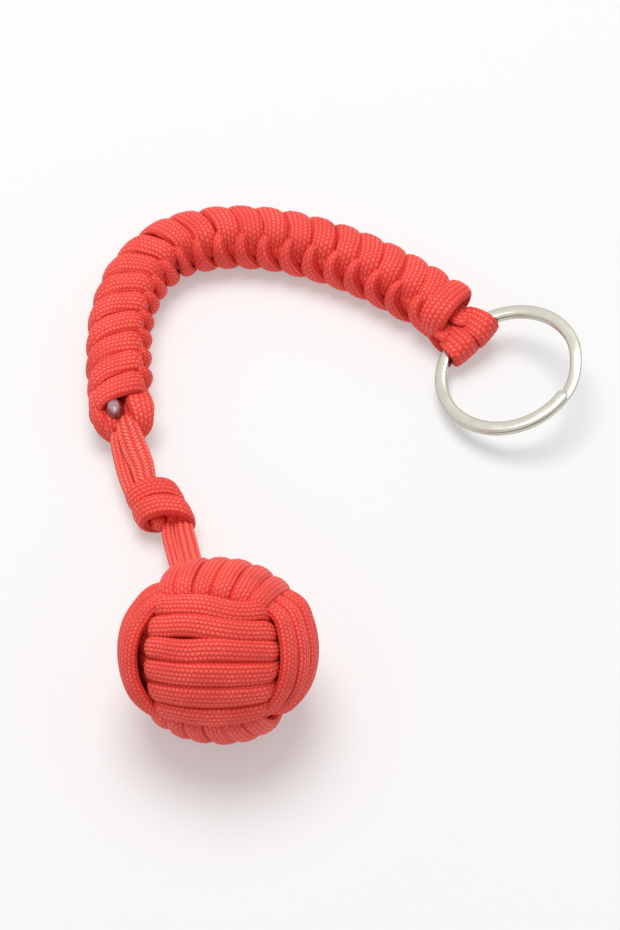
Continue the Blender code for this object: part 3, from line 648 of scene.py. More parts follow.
def fist_rows(fist, ways, chance, dives, last_dives, spread=1.0, shift=0.0, proud=0.0, last_proud=0.0,
              wide=1.05, square=1.0, strays=(), pulls=()):
    """A winding about the first way: on top over two faces, and under its neighbours on the next two."""
    axis, seen_way, hidden_way = ways
    top = FIST_RADIUS - fist.thickness / 2 + proud
    middle = (fist.turns - 1) / 2
    rows = []
    wobble = [[chance.uniform(-1, 1) for _ in range(4)] for _ in range(fist.turns)]
    for index in range(2 - TURN_STEPS // 4, fist.turns * TURN_STEPS - TURN_STEPS // 4 - 1):
        degrees = index * 360.0 / TURN_STEPS
        turn = math.floor((degrees + 90.0) / 360.0)
        within = degrees - 360.0 * turn
        gain = smooth_share((within - CROSS_START) / CROSS_SPAN)
        off_middle = (degrees + 90.0) % 180.0 - 90.0
        quarter = math.floor(within / 90.0) % 4
        under = (last_dives if turn == fist.turns - 1 else dives)[quarter]
        seen = 1.0 - smooth_share((abs(off_middle) - under) / DIVE_SPAN)
        squeeze = 1.0 - fist.squeeze * min(1.0, (off_middle / SQUEEZE_REACH) ** 2)
        a, b, c, d = wobble[turn]
        angle = math.radians(degrees)
        drift = DRIFT * (a * math.cos(angle) + b * math.sin(2 * angle) + c * math.cos(3 * angle)) + shift
        drift += sum(share * near_angle(degrees, place, reach)
                     for which, place, reach, share in strays if which == turn)
        latitude = fist.pitch * spread * squeeze * (turn + gain - middle + drift)
        lifted = 0.0
        if turn == fist.turns - 1:
            lifted = smooth_share(1.0 - abs(within - 180.0) / PROUD_REACH) * last_proud
        radius = top - fist.drop * (1.0 - seen) + WAVER * d * math.cos(2 * angle) + lifted
        radius -= sum(depth * near_angle(degrees, place, reach) for place, reach, depth in pulls)
        level = seen_way * math.cos(angle) + hidden_way * math.sin(angle)
        outward = level * math.cos(latitude) ** square + axis * math.sin(latitude)
        width = fist.pitch * spread * squeeze * top * wide
        way = outward.normalized() + axis * (lifted * PROUD_LEAN)
        rows.append(row(FIST_CENTRE + outward * radius, way, width, fist.thickness))
    return rows


class KEYCHAIN_OT_fist(bpy.types.Operator):
    """Wind the monkey fist: three crossed sets of six turns"""
    bl_idname = "keychain.fist"
    bl_label = "Monkey Fist"

    def execute(self, context):
        scene = context.scene
        cord, fist = scene.keychain_cord, scene.keychain_fist
        right, upper, front = fist_axes(fist)
        # The fist's cord takes less painted shade on its sides
        red = cord_material(scene.keychain_finish, "wound_braid", side_shade=0.25)
        slanted = Matrix.Rotation(-fist.top_roll, 3, front) @ Matrix.Rotation(-fist.top_slant, 3, upper)
        sets = {
            "fist_front": ((upper, front, right), {"spread": 1.09, "proud": -0.00020, "wide": 1.04,
                                                   "strays": FRONT_STRAYS}),
            "fist_side": ((front, right, upper), {"proud": fist.swell, "last_proud": 0.0011, "wide": 0.94,
                                                  "pulls": SIDE_PULLS}),
            "fist_top": ((slanted @ right, slanted @ upper, slanted @ front),
                         {"spread": 1.05, "shift": 0.22, "proud": -0.8 * fist.swell, "square": 0.75}),
        }
        for index, (name, (ways, shape)) in enumerate(sets.items()):
            rows = fist_rows(fist, ways, random.Random(10 + index), *DIVES[name], **shape)
            mesh = join_meshes([cord_mesh(rows, cord, crown=0.66, twist=1.5, start=31.0 * index)])
            place_piece(name + "_winding", mesh, red, [name + "_turns"], "fist")
        return {"FINISHED"}


class KEYCHAIN_OT_ball(bpy.types.Operator):
    """Finish the steel ball that the fist is wound on"""
    bl_idname = "keychain.ball"
    bl_label = "Steel Ball"

    def execute(self, context):
        low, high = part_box("steel_ball")
        shape = bmesh.new()
        bmesh.ops.create_uvsphere(shape, u_segments=64, v_segments=32, radius=(high.z - low.z) / 2)
        bmesh.ops.translate(shape, verts=shape.verts, vec=(low + high) / 2)
        steel = steel_material(context.scene.keychain_finish, "ball_steel", 0.2)
        place_piece("core_ball", mesh_of(shape), steel, ["steel_ball"], "fist")
        return {"FINISHED"}


# The bar

# The spine's points lie this far apart, and its ends run on straight along this many of them
SPINE_STEP = 0.0001
SPINE_END = 20
# Its direction is taken between places this far behind and ahead
DIRECTION_REACH = 0.0008
# The bar's own length starts and ends this far inside the joints at its ends
MOUTH = 0.002


def bar_spine():
    """Places along the bar's middle line with their lengths, through the links' joints."""
    names = [f"bar_bend_{number:02d}" for number in range(1, len(LINKS))]
    rows = smooth_rows([NECK_JOINT, *(joint_place(name) for name in names), LOOP_JOINT], SPINE_STEP)
    lengths = np.concatenate([[0.0], np.cumsum(np.linalg.norm(np.diff(rows, axis=0), axis=1))])
    return rows, lengths


SPINE, SPINE_LENGTHS = bar_spine()
LINK_LENGTH = (joint_place("bar_bend_06") - joint_place("bar_bend_05")).length
BAR_LENGTH = SPINE_LENGTHS[-1] - 2 * MOUTH


def spine_place(length):
    """The spine's place and its direction at this length from the bar's own start."""
    length = length + MOUTH
    direction = spine_at(length + DIRECTION_REACH) - spine_at(length - DIRECTION_REACH)
    return spine_at(length), direction.normalized()


def spine_at(length):
    """The place at this length from the neck's joint, straight on beyond either end."""
    if length < 0:
        start, second = Vector(SPINE[0]), Vector(SPINE[SPINE_END])
        return start + (start - second).normalized() * -length
    if length > SPINE_LENGTHS[-1]:
        end, before = Vector(SPINE[-1]), Vector(SPINE[-SPINE_END])
        return end + (end - before).normalized() * (length - SPINE_LENGTHS[-1])
    return Vector([np.interp(length, SPINE_LENGTHS, SPINE[:, axis]) for axis in range(3)])


def bar_place(length, across, up):
    """A place in the bar's section: across is towards its outer side."""
    centre, direction = spine_place(length)
    return centre + UP.cross(direction) * across + UP * up


def bar_row(length, across, up, way_across, way_up, way_ahead, width, thickness):
    """A cord's row at a place in the bar's section, its face's way given in the bar's own ways."""
    _, direction = spine_place(length)
    way = (UP.cross(direction) * way_across + UP * way_up + direction * way_ahead).normalized()
    return row(bar_place(length, across, up), way, width, thickness)


# One hook: degrees round the section, pitches forward, mm under the skin, mm wide, backward lean
HOOK = (
    (-20.0, 0.24, 4.0, 2.8, 0.0),
    (0.0, 0.25, 3.3, 3.0, 0.0),
    (22.0, 0.28, 2.6, 3.4, 0.0),
    (42.0, 0.30, 1.7, 4.3, 0.0),
    (60.0, 0.30, 0.8, 5.0, 0.0),
    (76.0, 0.26, 0.1, 5.3, 0.0),
    (95.0, 0.14, 0.0, 5.15, 0.0),
    (122.0, -0.10, 0.0, 5.0, 0.0),
    (150.0, -0.34, 0.0, 4.8, 0.0),
    (180.0, -0.58, 0.0, 4.4, 12.0),
    (205.0, -0.66, 0.0, 3.6, 36.0),
    (228.0, -0.64, 0.2, 3.1, 55.0),
    (250.0, -0.54, 0.9, 2.8, 58.0),
    (272.0, -0.42, 2.3, 2.4, 40.0),
    (290.0, -0.35, 3.6, 2.0, 20.0),
)
LAST_TOP_HOOK = (
    (-58.0, -0.10, 3.2, 3.0, 0.0),
    (-36.0, -0.14, 1.6, 4.2, 0.0),
    (-12.0, -0.16, 0.4, 5.4, 0.0),
    (20.0, -0.17, 0.0, 6.0, 0.0),
    (55.0, -0.17, -0.2, 6.2, 0.0),
    (90.0, -0.16, -0.2, 6.1, 0.0),
    (125.0, -0.16, 0.0, 5.8, 0.0),
    (155.0, -0.18, 0.0, 5.4, 0.0),
    (185.0, -0.24, 0.2, 4.8, 0.0),
    (215.0, -0.26, 0.8, 3.8, 0.0),
    (245.0, -0.16, 2.0, 3.0, 0.0),
    (270.0, -0.06, 3.2, 2.4, 0.0),
)
LAST_BOTTOM_HOOK = (
    (0.0, 0.40, 3.0, 2.6, 0.0),
    (22.0, 0.50, 2.0, 3.0, 0.0),
    (42.0, 0.52, 1.2, 3.5, 0.0),
    (60.0, 0.52, 0.8, 4.0, 0.0),
    (76.0, 0.50, 0.5, 4.5, 0.0),
    (95.0, 0.47, 0.45, 4.6, 0.0),
    (122.0, 0.40, 0.2, 4.7, 0.0),
    (150.0, 0.20, 0.0, 4.6, 0.0),
    (180.0, -0.35, 0.0, 4.2, 12.0),
    (205.0, -0.52, 0.0, 3.5, 36.0),
    (228.0, -0.55, 0.2, 3.0, 55.0),
    (250.0, -0.50, 0.9, 2.7, 58.0),
    (272.0, -0.40, 2.3, 2.4, 40.0),
)


def bar_skin(bar, angle):
    """The bar's outline at this angle and the way it faces there, each as across and up."""
    cosine, sine = math.cos(angle), math.sin(angle)
    corner = bar.outer_corner if cosine < 0 else bar.inner_corner
    power = 2 / corner
    across = -bar.width / 2 * math.copysign(abs(cosine) ** power, cosine)
    up = bar.height / 2 * math.copysign(abs(sine) ** power, sine)
    normal = Vector((-math.copysign(abs(cosine) ** (2 - power), cosine) / bar.width,
                     math.copysign(abs(sine) ** (2 - power), sine) / bar.height)).normalized()
    return Vector((across, up)), normal


# Most of a hook lies this far behind its mark, and it rides on the link there
HOOK_LAG = 0.001
# Hooks nearer to the neck than this roll inwards, and in full after this span
ROLL_END = 0.062
ROLL_SPAN = 0.034
# A hook strays along the bar by up to this share of the pitch
SWAY = 0.035
# Its width follows how the bar's curve stretches the place it lies at, by this power of the stretch
STRETCH_REACH = 0.001
STRETCH_POWER = 0.95
# The bottom hook nearest the neck is sunk this many mm from this angle on, beside the first turn
NECK_SINK = 1.3
NECK_SINK_FROM = 170
# Hooks are drawn fuller than other cord, and turn about themselves at random, in turns a metre
HOOK_CROWN = 0.8
HOOK_TWIST = 6.0


def hook_rows(bar, length, table, turned, chance):
    """One hook of cord about the bar at this length; turned by half a turn for a bottom one."""
    rows = []
    sway = chance.uniform(-SWAY, SWAY)
    roll = bar.roll * smooth_share((ROLL_END - length) / ROLL_SPAN)
    for angle, forward, sunk, width, lean in table:
        skin, normal = bar_skin(bar, math.radians(angle + turned) - roll)
        centre = skin - normal * (sunk * MM + bar.thickness / 2)
        mark = length + (forward + sway) * bar.pitch
        near = bar_place(mark - STRETCH_REACH, centre.x, centre.y)
        far = bar_place(mark + STRETCH_REACH, centre.x, centre.y)
        stretch = ((far - near).length / (2 * STRETCH_REACH)) ** STRETCH_POWER
        tip = math.radians(lean)
        rows.append(bar_row(mark, centre.x, centre.y, normal.x * math.cos(tip), normal.y * math.cos(tip),
                            -math.sin(tip), width * MM * stretch, bar.thickness))
    return rows


class KEYCHAIN_OT_bar(bpy.types.Operator):
    """Tie the bar's hooks, over the top and under the bottom by turns, interlocked at both sides"""
    bl_idname = "keychain.bar"
    bl_label = "Knotted Bar"

    def execute(self, context):
        scene = context.scene
        cord, bar = scene.keychain_cord, scene.keychain_bar
        red = cord_material(scene.keychain_finish)
        chance = random.Random(5)
        hooks = {link: [] for link in LINKS}
        last = BAR_LENGTH + bar.overhang
        for knot in range(bar.knots):
            for turned, shift, last_table in ((0.0, 0.0, LAST_TOP_HOOK), (180.0, 0.5, LAST_BOTTOM_HOOK)):
                if turned and knot == bar.knots - 1:
                    continue
                length = last - (knot + shift) * bar.pitch
                table = HOOK if knot else last_table
                if turned and knot == bar.knots - 2:
                    table = [(angle, forward, sunk + (NECK_SINK if angle > NECK_SINK_FROM else 0.0), *others)
                             for angle, forward, sunk, *others in table]
                rows = hook_rows(bar, length, table, turned, chance)
                link = LINKS[min(int((length - HOOK_LAG) / LINK_LENGTH), len(LINKS) - 1)]
                twist = HOOK_TWIST * chance.uniform(-1, 1)
                start = chance.uniform(0, 50)
                hooks[link].append(cord_mesh(rows, cord, crown=HOOK_CROWN, twist=twist, start=start))
        for number, link in enumerate(LINKS, 1):
            place_piece(f"bar_knots_{number:02d}", join_meshes(hooks[link]), red,
                        [f"bar_turns_{number:02d}"], link)
        return {"FINISHED"}


# A core strand's place across the bar and its width: inner, outer, and outer in the links at the ends
INNER_STRAND = (-0.0023, 0.0051)
OUTER_STRAND = (0.0027, 0.0060)
END_STRAND = (0.0022, 0.0050)
STRAND_THICKNESS = 0.0070
STRAND_SIDES = 24
# How far strands reach past their link, and how far they stay back at the neck and at the loops
STRAND_OVERLAP = 0.0004
NECK_SETBACK = 0.0012
LOOP_SETBACK = 0.001


class KEYCHAIN_OT_core(bpy.types.Operator):
    """Lay the two core strands that the bar is knotted round"""
    bl_idname = "keychain.core"
    bl_label = "Core Strands"

    def execute(self, context):
        scene = context.scene
        cord = scene.keychain_cord
        red = cord_material(scene.keychain_finish)
        for number, link in enumerate(LINKS, 1):
            meshes = []
            outer = OUTER_STRAND if 1 < number < len(LINKS) else END_STRAND
            first = (number - 1) * LINK_LENGTH + (NECK_SETBACK if number == 1 else -STRAND_OVERLAP)
            last = number * LINK_LENGTH + (-LOOP_SETBACK if number == len(LINKS) else STRAND_OVERLAP)
            for across, width in (INNER_STRAND, outer):
                rows = [bar_row(first + (last - first) * step / 4, across, 0.0, 0.0, 1.0, 0.0, width,
                                STRAND_THICKNESS) for step in range(5)]
                meshes.append(cord_mesh(rows, cord, sides=STRAND_SIDES))
            place_piece(f"bar_core_strands_{number:02d}", join_meshes(meshes), red,
                        [f"bar_core_outer_{number:02d}", f"bar_core_inner_{number:02d}"], link)
        return {"FINISHED"}


# The bar's first turn lies in a U under the neck: mm along the bar, outward and up, the face's way
# outward, up and ahead, and mm wide
FIRST_TURN = (
    (12.5, 4.3, 0.4, 0.7, 0.5, 0.0, 3.4),
    (10.0, 4.9, 1.4, 0.85, 0.5, 0.0, 3.6),
    (7.4, 4.9, 1.9, 0.85, 0.55, -0.1, 3.7),
    (4.9, 4.6, 1.4, 0.8, 0.55, -0.35, 3.7),
    (3.2, 3.7, 0.0, 0.5, 0.4, -0.8, 3.7),
    (2.4, 2.0, -1.6, 0.2, 0.1, -0.97, 3.6),
    (2.2, 0.0, -2.2, 0.0, -0.1, -1.0, 3.6),
    (2.3, -2.0, -1.4, -0.2, 0.2, -0.97, 4.0),
    (2.7, -3.5, 0.4, -0.4, 0.5, -0.8, 4.4),
    (3.9, -3.8, 1.9, -0.5, 0.8, -0.35, 5.0),
    (6.2, -3.6, 2.5, -0.4, 0.95, -0.1, 5.8),
    (9.0, -3.2, 1.8, -0.3, 0.95, 0.0, 5.4),
    (12.5, -2.2, 0.9, -0.1, 0.95, 0.0, 4.2),
)


# Melted ends: mm along the bar, outward and up
MELTED_ENDS = {"upper": (5.6, 1.6, 3.0), "lower": (4.4, -1.6, -3.0)}
# Half sizes across, along and up, the share of them that is plain, and the lumps on it
MELT_SIZE = (0.0018, 0.0025, 0.0016)
MELT_PLAIN = 0.94
MELT_LUMPS = 9
LUMP_SIZES = (0.05, 0.14)
LUMP_POWER = 6


class KEYCHAIN_OT_bar_start(bpy.types.Operator):
    """Lay the first turn round the neck and the two melted cord ends"""
    bl_idname = "keychain.bar_start"
    bl_label = "Bar Start"

    def execute(self, context):
        scene = context.scene
        cord, bar = scene.keychain_cord, scene.keychain_bar
        red = cord_material(scene.keychain_finish)
        rows = [bar_row(length * MM, out * MM, up * MM, *way, width * MM, bar.thickness)
                for length, out, up, *way, width in FIRST_TURN]
        mesh = join_meshes([cord_mesh(rows, cord, twist=2.0)])
        place_piece("first_turn", mesh, red, ["bar_end_turn"], LINKS[0])
        melted = melted_material(scene.keychain_finish)
        for name, place in MELTED_ENDS.items():
            length, out, up = [value * MM for value in place]
            shape = bmesh.new()
            bmesh.ops.create_icosphere(shape, subdivisions=4, radius=1.0)
            chance = random.Random(3)
            lumps = [(Vector([chance.uniform(-1, 1) for _ in range(3)]).normalized(),
                      chance.uniform(*LUMP_SIZES)) for _ in range(MELT_LUMPS)]
            for vertex in shape.verts:
                way = vertex.co.normalized()
                swell = sum(size * max(0.0, way.dot(lump)) ** LUMP_POWER for lump, size in lumps)
                vertex.co = way * (MELT_PLAIN + swell)
            _, direction = spine_place(length)
            turn = Matrix((UP.cross(direction), direction, UP)).transposed().to_4x4()
            bmesh.ops.transform(shape, verts=shape.verts, matrix=turn @ Matrix.Diagonal((*MELT_SIZE, 1.0)))
            bmesh.ops.translate(shape, verts=shape.verts, vec=bar_place(length, out, up))
            place_piece(f"melted_tip_{name}", mesh_of(shape), melted,
                        [f"melted_end_{name}"], LINKS[0])
        return {"FINISHED"}


# The neck and its knot

# Neck strands as mm from the joint at their start, then the width
UPPER_LEFT_STRAND = (
    (-1.3, 6.5, -0.6, 3.0), (-1.7, 3.6, 0.0, 3.0), (-1.6, 1.0, -0.2, 3.1), (-0.7, -3.0, -0.7, 3.2),
    (0.1, -6.0, -1.0, 3.2), (0.9, -8.6, -1.1, 3.0), (1.9, -11.0, -1.2, 2.8),
)
UPPER_RIGHT_STRAND = (
    (-0.6, 7.0, 0.9, 3.8), (0.1, 4.2, 1.7, 4.5), (1.1, 1.0, 1.3, 5.2), (2.1, -1.6, 0.7, 5.4),
    (3.2, -4.4, 0.3, 5.1), (4.0, -7.5, 0.1, 4.5), (4.9, -10.0, -0.2, 4.0),
)
LOWER_LEFT_STRAND = (
    (-0.7, 4.0, -0.6, 2.6), (-0.6, 0.0, -0.2, 2.9), (0.2, -4.0, 0.7, 3.0), (1.4, -9.5, 2.7, 3.0),
    (2.9, -15.0, 5.1, 3.0), (4.0, -19.6, 7.0, 2.8),
)
LOWER_RIGHT_STRAND = (
    (1.9, 4.0, -0.2, 3.6), (2.4, 0.0, 0.4, 4.0), (3.2, -4.0, 1.3, 4.2), (4.3, -9.5, 3.3, 4.2),
    (5.7, -15.0, 5.7, 4.2), (6.7, -19.8, 7.5, 4.0),
)


# How far a left and a right strand's face tilts sideways
STRAND_TILTS = (0.35, -0.05)
# The turns a metre that a strand makes about itself and the stitch it starts at, for a tilt of 1
TILT_TWIST = 3.0
TILT_START = 9.0
# Taut strands show fewer and deeper ribs
TAUT_RIBS = 8
TAUT_DEPTH = 2.8
# The span given with a piece reaches this far on each side of its joint
NECK_BEND = 0.0025


def neck_rows(joint, strand, tilt, thickness):
    """A strand's rows; its face looks up, square to its path, tilted sideways."""
    places = [joint + Vector(entry[:3]) * MM for entry in strand]
    rows = []
    for index, place in enumerate(places):
        ahead = places[min(index + 1, len(places) - 1)] - places[max(index - 1, 0)]
        right = UP.cross(ahead).normalized()
        way = ahead.cross(right).normalized() + right * tilt
        rows.append(row(place, way, strand[index][3] * MM, thickness))
    return rows


class KEYCHAIN_OT_neck(bpy.types.Operator):
    """Lay the neck's four strands, from the bar to the knot and from the knot to the fist"""
    bl_idname = "keychain.neck"
    bl_label = "Neck Strands"

    def execute(self, context):
        scene = context.scene
        cord, neck = scene.keychain_cord, scene.keychain_neck
        # A copy of the cord with more painted highlight and no painted shade on its sides, for the neck,
        # which is lit more
        red = cord_material(scene.keychain_finish, "lit_neck_braid", crest_from=0.25, dullest_highlight=1.0, lean=0.9,
                            side_shade=0.0)
        parts = (
            ("upper", NECK_JOINT, ("bar_link_01", "upper_neck"), (UPPER_LEFT_STRAND, UPPER_RIGHT_STRAND)),
            ("lower", SWING_JOINT, ("knot", "lower_neck"), (LOWER_LEFT_STRAND, LOWER_RIGHT_STRAND)),
        )
        for part, joint, bodies, strands in parts:
            for side, strand, tilt in zip(("left", "right"), strands, STRAND_TILTS):
                rows = neck_rows(joint, strand, tilt, neck.thickness)
                mesh = cord_mesh(rows, cord, ribbed=TAUT_DEPTH, ribs=TAUT_RIBS, twist=TILT_TWIST * tilt,
                                 start=TILT_START * tilt)
                bend = (Vector(rows[-1][:3]) - Vector(rows[0][:3])).normalized() * NECK_BEND
                place_piece(f"{part}_neck_{side}", join_meshes([mesh]), red,
                            [f"{part}_neck_strand_{side}"], blend=(*bodies, joint - bend, joint + bend))
        return {"FINISHED"}


# The knot's band from its tucked start under the left side: degrees round the neck, mm ahead, mm proud
KNOT_BAND = (
    (-120.0, -2.4, -1.6), (-80.0, -3.0, -0.6), (-40.0, -3.6, 0.0), (0.0, -4.0, 0.0), (45.0, -3.7, 0.0),
    (90.0, -3.1, 0.1), (135.0, -2.3, 0.0), (180.0, -0.9, 0.0), (225.0, 0.3, 0.0), (270.0, 0.8, 0.0),
    (315.0, 0.6, 0.0), (360.0, 0.2, 0.2), (405.0, 0.5, 0.5), (450.0, 1.5, 0.6), (495.0, 2.9, 0.5),
    (540.0, 4.2, 0.1), (585.0, 4.4, -0.4), (625.0, 3.4, -1.4),
)


# The band's middle line lies this far beside and above the neck's
KNOT_REACH = 0.0040
KNOT_RISE = 0.0029
# The two core strands: how far aside, width, thickness, and the places of their rows ahead
KNOT_CORE = (0.0014, 0.003, 0.0034)
KNOT_CORE_MARKS = (-0.0045, -0.002, 0.0, 0.002, 0.0045)


class KEYCHAIN_OT_knot(bpy.types.Operator):
    """Tie the overhand knot in the neck"""
    bl_idname = "keychain.knot"
    bl_label = "Overhand Knot"

    def execute(self, context):
        scene = context.scene
        cord, neck = scene.keychain_cord, scene.keychain_neck
        red = cord_material(scene.keychain_finish)
        ahead = (SWING_JOINT - LIFT_JOINT).normalized()
        right = UP.cross(ahead)
        middle = (LIFT_JOINT + SWING_JOINT) / 2
        rows = []
        for degrees, along, proud in KNOT_BAND:
            angle = math.radians(degrees)
            cosine, sine = -math.cos(angle), math.sin(angle)
            reach = KNOT_REACH + proud * MM
            rise = KNOT_RISE + proud * MM
            centre = middle + ahead * (along * MM) + right * (reach * cosine) + UP * (rise * sine)
            way = (right * (cosine / reach) + UP * (sine / rise)).normalized()
            rows.append(row(centre, way, neck.knot_width, neck.thickness))
        half = len(KNOT_BAND) // 2
        for name, part, start in (("upper", rows[:half + 2], 0.0), ("lower", rows[half - 1:], 20.0)):
            mesh = join_meshes([cord_mesh(part, cord, twist=2.0, start=start)])
            place_piece(f"knot_{name}_band", mesh, red, [f"knot_{name}_turn"], "knot")
        cores = []
        aside, width, thickness = KNOT_CORE
        for side in (-aside, aside):
            core = [row(middle + ahead * mark + right * side, UP, width, thickness)
                    for mark in KNOT_CORE_MARKS]
            cores.append(cord_mesh(core, cord, sides=STRAND_SIDES))
        place_piece("knot_core", join_meshes(cores), red,
                    ["knot_core_strand_left", "knot_core_strand_right"], "knot")
        return {"FINISHED"}


# The loops and the split ring

def ring_axes(towards):
    """Two ways in the ring's plane: the one nearest to this way, and across it."""
    ahead = (towards - RING_UP * towards.dot(RING_UP)).normalized()
    return ahead, RING_UP.cross(ahead)


# The wire starts and ends at these degrees round the ring, and steps up from this one for this many
WIRE_MARKS = (22.0, 698.0)
WIRE_STEP_START = 342.0
WIRE_STEP_SPAN = 36.0
WIRE_ROWS = 240
WIRE_SIDES = 32
WIRE_RING_STEP = 0.0006
WIRE_EDGE = math.radians(60)


def ring_rows(ring):
    """Two turns of flat wire with a short step from the lower turn to the upper one."""
    ahead, across = ring_axes(Vector((1.0, 0.0, 0.0)))
    level = (ring.wire_thickness + ring.gap) / 2
    radius = (ring.diameter - ring.wire_width) / 2
    first, last = WIRE_MARKS
    rows = []
    for index in range(WIRE_ROWS + 1):
        mark = first + (last - first) * index / WIRE_ROWS
        rise = smooth_share((mark - WIRE_STEP_START) / WIRE_STEP_SPAN) * 2 - 1
        angle = math.radians(mark) + ring.split
        outward = ahead * math.cos(angle) + across * math.sin(angle)
        centre = RING_CENTRE + outward * radius + RING_UP * (level * rise)
        rows.append(row(centre, RING_UP, ring.wire_width, ring.wire_thickness))
    return rows


class KEYCHAIN_OT_ring(bpy.types.Operator):
    """Coil the split ring from flat wire"""
    bl_idname = "keychain.ring"
    bl_label = "Split Ring"

    def execute(self, context):
        scene = context.scene
        ring = scene.keychain_ring
        steel = steel_material(scene.keychain_finish, "ring_steel", 0.16)
        mesh = cord_mesh(ring_rows(ring), scene.keychain_cord, ribbed=0.0, sides=WIRE_SIDES, crown=0.25,
                         blunt=0.3, step=WIRE_RING_STEP)
        mesh = join_meshes([mesh])
        place_piece("split_ring_wire", mesh, steel, ["split_ring"], "ring")
        mesh.set_sharp_from_angle(angle=WIRE_EDGE)
        return {"FINISHED"}


# The loops: degrees round the ring, the heading over its wire, then where each leaves the bar and where
# it starts inside, in mm ahead of the bar's end joint, aside and up
LOOPS = {
    "far": (8.5, -40.0, (2.4, -0.7, 1.9), (-3.5, 0.6, 1.0)),
    "near": (-14.0, -52.0, (2.0, -4.9, 0.5), (-3.5, -2.8, 0.2)),
}
# The way from the bar to the ring: places round the ring are counted from where it meets the wire
LOOP_HEADING = -52.0
# How far a loop stays off the wire, above it and at its fold
LOOP_CLEAR = 0.0001
FOLD_CLEAR = 0.0013
# Places ahead of the wire's middle line where it comes over the wire and where it starts to fold
LOOP_OVER = -0.0012
LOOP_FLAT = 0.0014
# Round the fold, from where it starts: shares of its reach and height, the face's way up and ahead, and
# a share of its thickness
FOLD_ROUND = ((0.88, 0.74, 1.0, 0.6, 1.0), (1.0, 0.2, 0.2, 1.0, 0.95))
FOLD_START_HEIGHT = 0.98
# How far the lower half's end lies under the upper one's, outside the bar and inside it, and behind it
LOOP_DROPS = (0.0032, 0.0022)
LOOP_DRAW_BACK = 0.0005
# Share of a loop's width inside the bar, and how far the span given with it reaches on each side of its
# joint
LOOP_TUCK = 0.9
LOOP_BEND = 0.002


def level_way(degrees):
    """A level way at these degrees from the right, towards the back."""
    return Vector((math.cos(math.radians(degrees)), math.sin(math.radians(degrees)), 0.0))


def loop_rows(ring, place_angle, heading, start, inside):
    """A flat cord from the bar, over the ring's wire, round its inside and back underneath."""
    ahead, across = ring_axes(level_way(LOOP_HEADING))
    spread = math.radians(place_angle)
    radius = (ring.diameter - ring.wire_width) / 2
    wire = RING_CENTRE - (ahead * math.cos(spread) - across * math.sin(spread)) * radius
    run, _ = ring_axes(level_way(heading))
    _, leave = spine_place(BAR_LENGTH + MOUTH)
    side = UP.cross(leave)
    start, inside = [LOOP_JOINT + (leave * x + side * y + UP * z) * MM for x, y, z in (start, inside)]
    level = ring.wire_thickness + ring.gap / 2 + ring.loop_thickness / 2 + LOOP_CLEAR
    fold = ring.wire_width / 2 + FOLD_CLEAR + ring.loop_thickness / 2
    thick = ring.loop_thickness
    widening = (ring.loop_start + 2 * ring.loop_fold) / 3
    upper = [
        row(inside, UP, ring.loop_start * LOOP_TUCK, thick),
        row(start, UP + RING_UP, ring.loop_start, thick),
        row(wire + run * LOOP_OVER + RING_UP * level, RING_UP, widening, thick),
        row(wire + run * LOOP_FLAT + RING_UP * (level * FOLD_START_HEIGHT), RING_UP, ring.loop_fold, thick),
    ]
    for reach, height, up, forth, share in FOLD_ROUND:
        centre = wire + run * (fold * reach) + RING_UP * (level * height)
        upper.append(row(centre, RING_UP * up + run * forth, ring.loop_fold, thick * share))
    lower = []
    for entry in reversed(upper):
        centre, way = Vector(entry[:3]), Vector(entry[3:6])
        centre -= RING_UP * (2 * (centre - wire).dot(RING_UP))
        way -= RING_UP * (2 * way.dot(RING_UP))
        lower.append(row(centre, way, entry[6], entry[7]))
    outer_drop, inner_drop = LOOP_DROPS
    lower[-2:] = [row(start - UP * outer_drop - run * LOOP_DRAW_BACK, -UP, ring.loop_start, thick),
                  row(inside - UP * inner_drop, -UP, ring.loop_start * LOOP_TUCK, thick)]
    return upper + lower


class KEYCHAIN_OT_loops(bpy.types.Operator):
    """Fold the two flat loops of cord over the split ring"""
    bl_idname = "keychain.loops"
    bl_label = "Ring Loops"

    def execute(self, context):
        scene = context.scene
        red = cord_material(scene.keychain_finish)
        _, leave = spine_place(BAR_LENGTH)
        for name, settings in LOOPS.items():
            rows = loop_rows(scene.keychain_ring, *settings)
            mesh = join_meshes([cord_mesh(rows, scene.keychain_cord, crown=0.3)])
            ends = (LOOP_JOINT - leave * LOOP_BEND, LOOP_JOINT + leave * LOOP_BEND)
            place_piece(f"loop_{name}", mesh, red, [f"ring_loop_{name}"],
                        blend=("bar_link_11", "loops", *ends))
        return {"FINISHED"}


# The stage

# What the camera looks at on the table, its sensor in millimetres and the nearest that it sees
AIM = Vector((-0.00454, 0.00594, 0.0))
SENSOR = 36.0
NEAREST = 0.01
# The soft light above the table and behind the object, aimed at the origin: metres across and watts
KEY_PLACE = Vector((-0.12, 0.34, 1.23))
KEY_SIZE = 0.9
KEY_POWER = 11.7
# The floor's half size; its grey where it only lights and where it is seen, and its own glow there
FLOOR_SIZE = 3.0
FLOOR_GREYS = (0.925, 0.6)
FLOOR_GLOW = 0.34
FLOOR_ROUGHNESS = 0.9
# The sky's strength where it only lights and where it is seen
SKY = (0.42, 1.0)


def direct_view(tree):
    """1 where the stage is seen by the camera or in a reflection, and 0 where it only lights."""
    path = tree.nodes.new("ShaderNodeLightPath")
    mirrored = sum_node(tree, "MAXIMUM", path.outputs["Is Glossy Ray"], path.outputs["Is Transmission Ray"])
    return sum_node(tree, "MAXIMUM", path.outputs["Is Camera Ray"], mirrored)


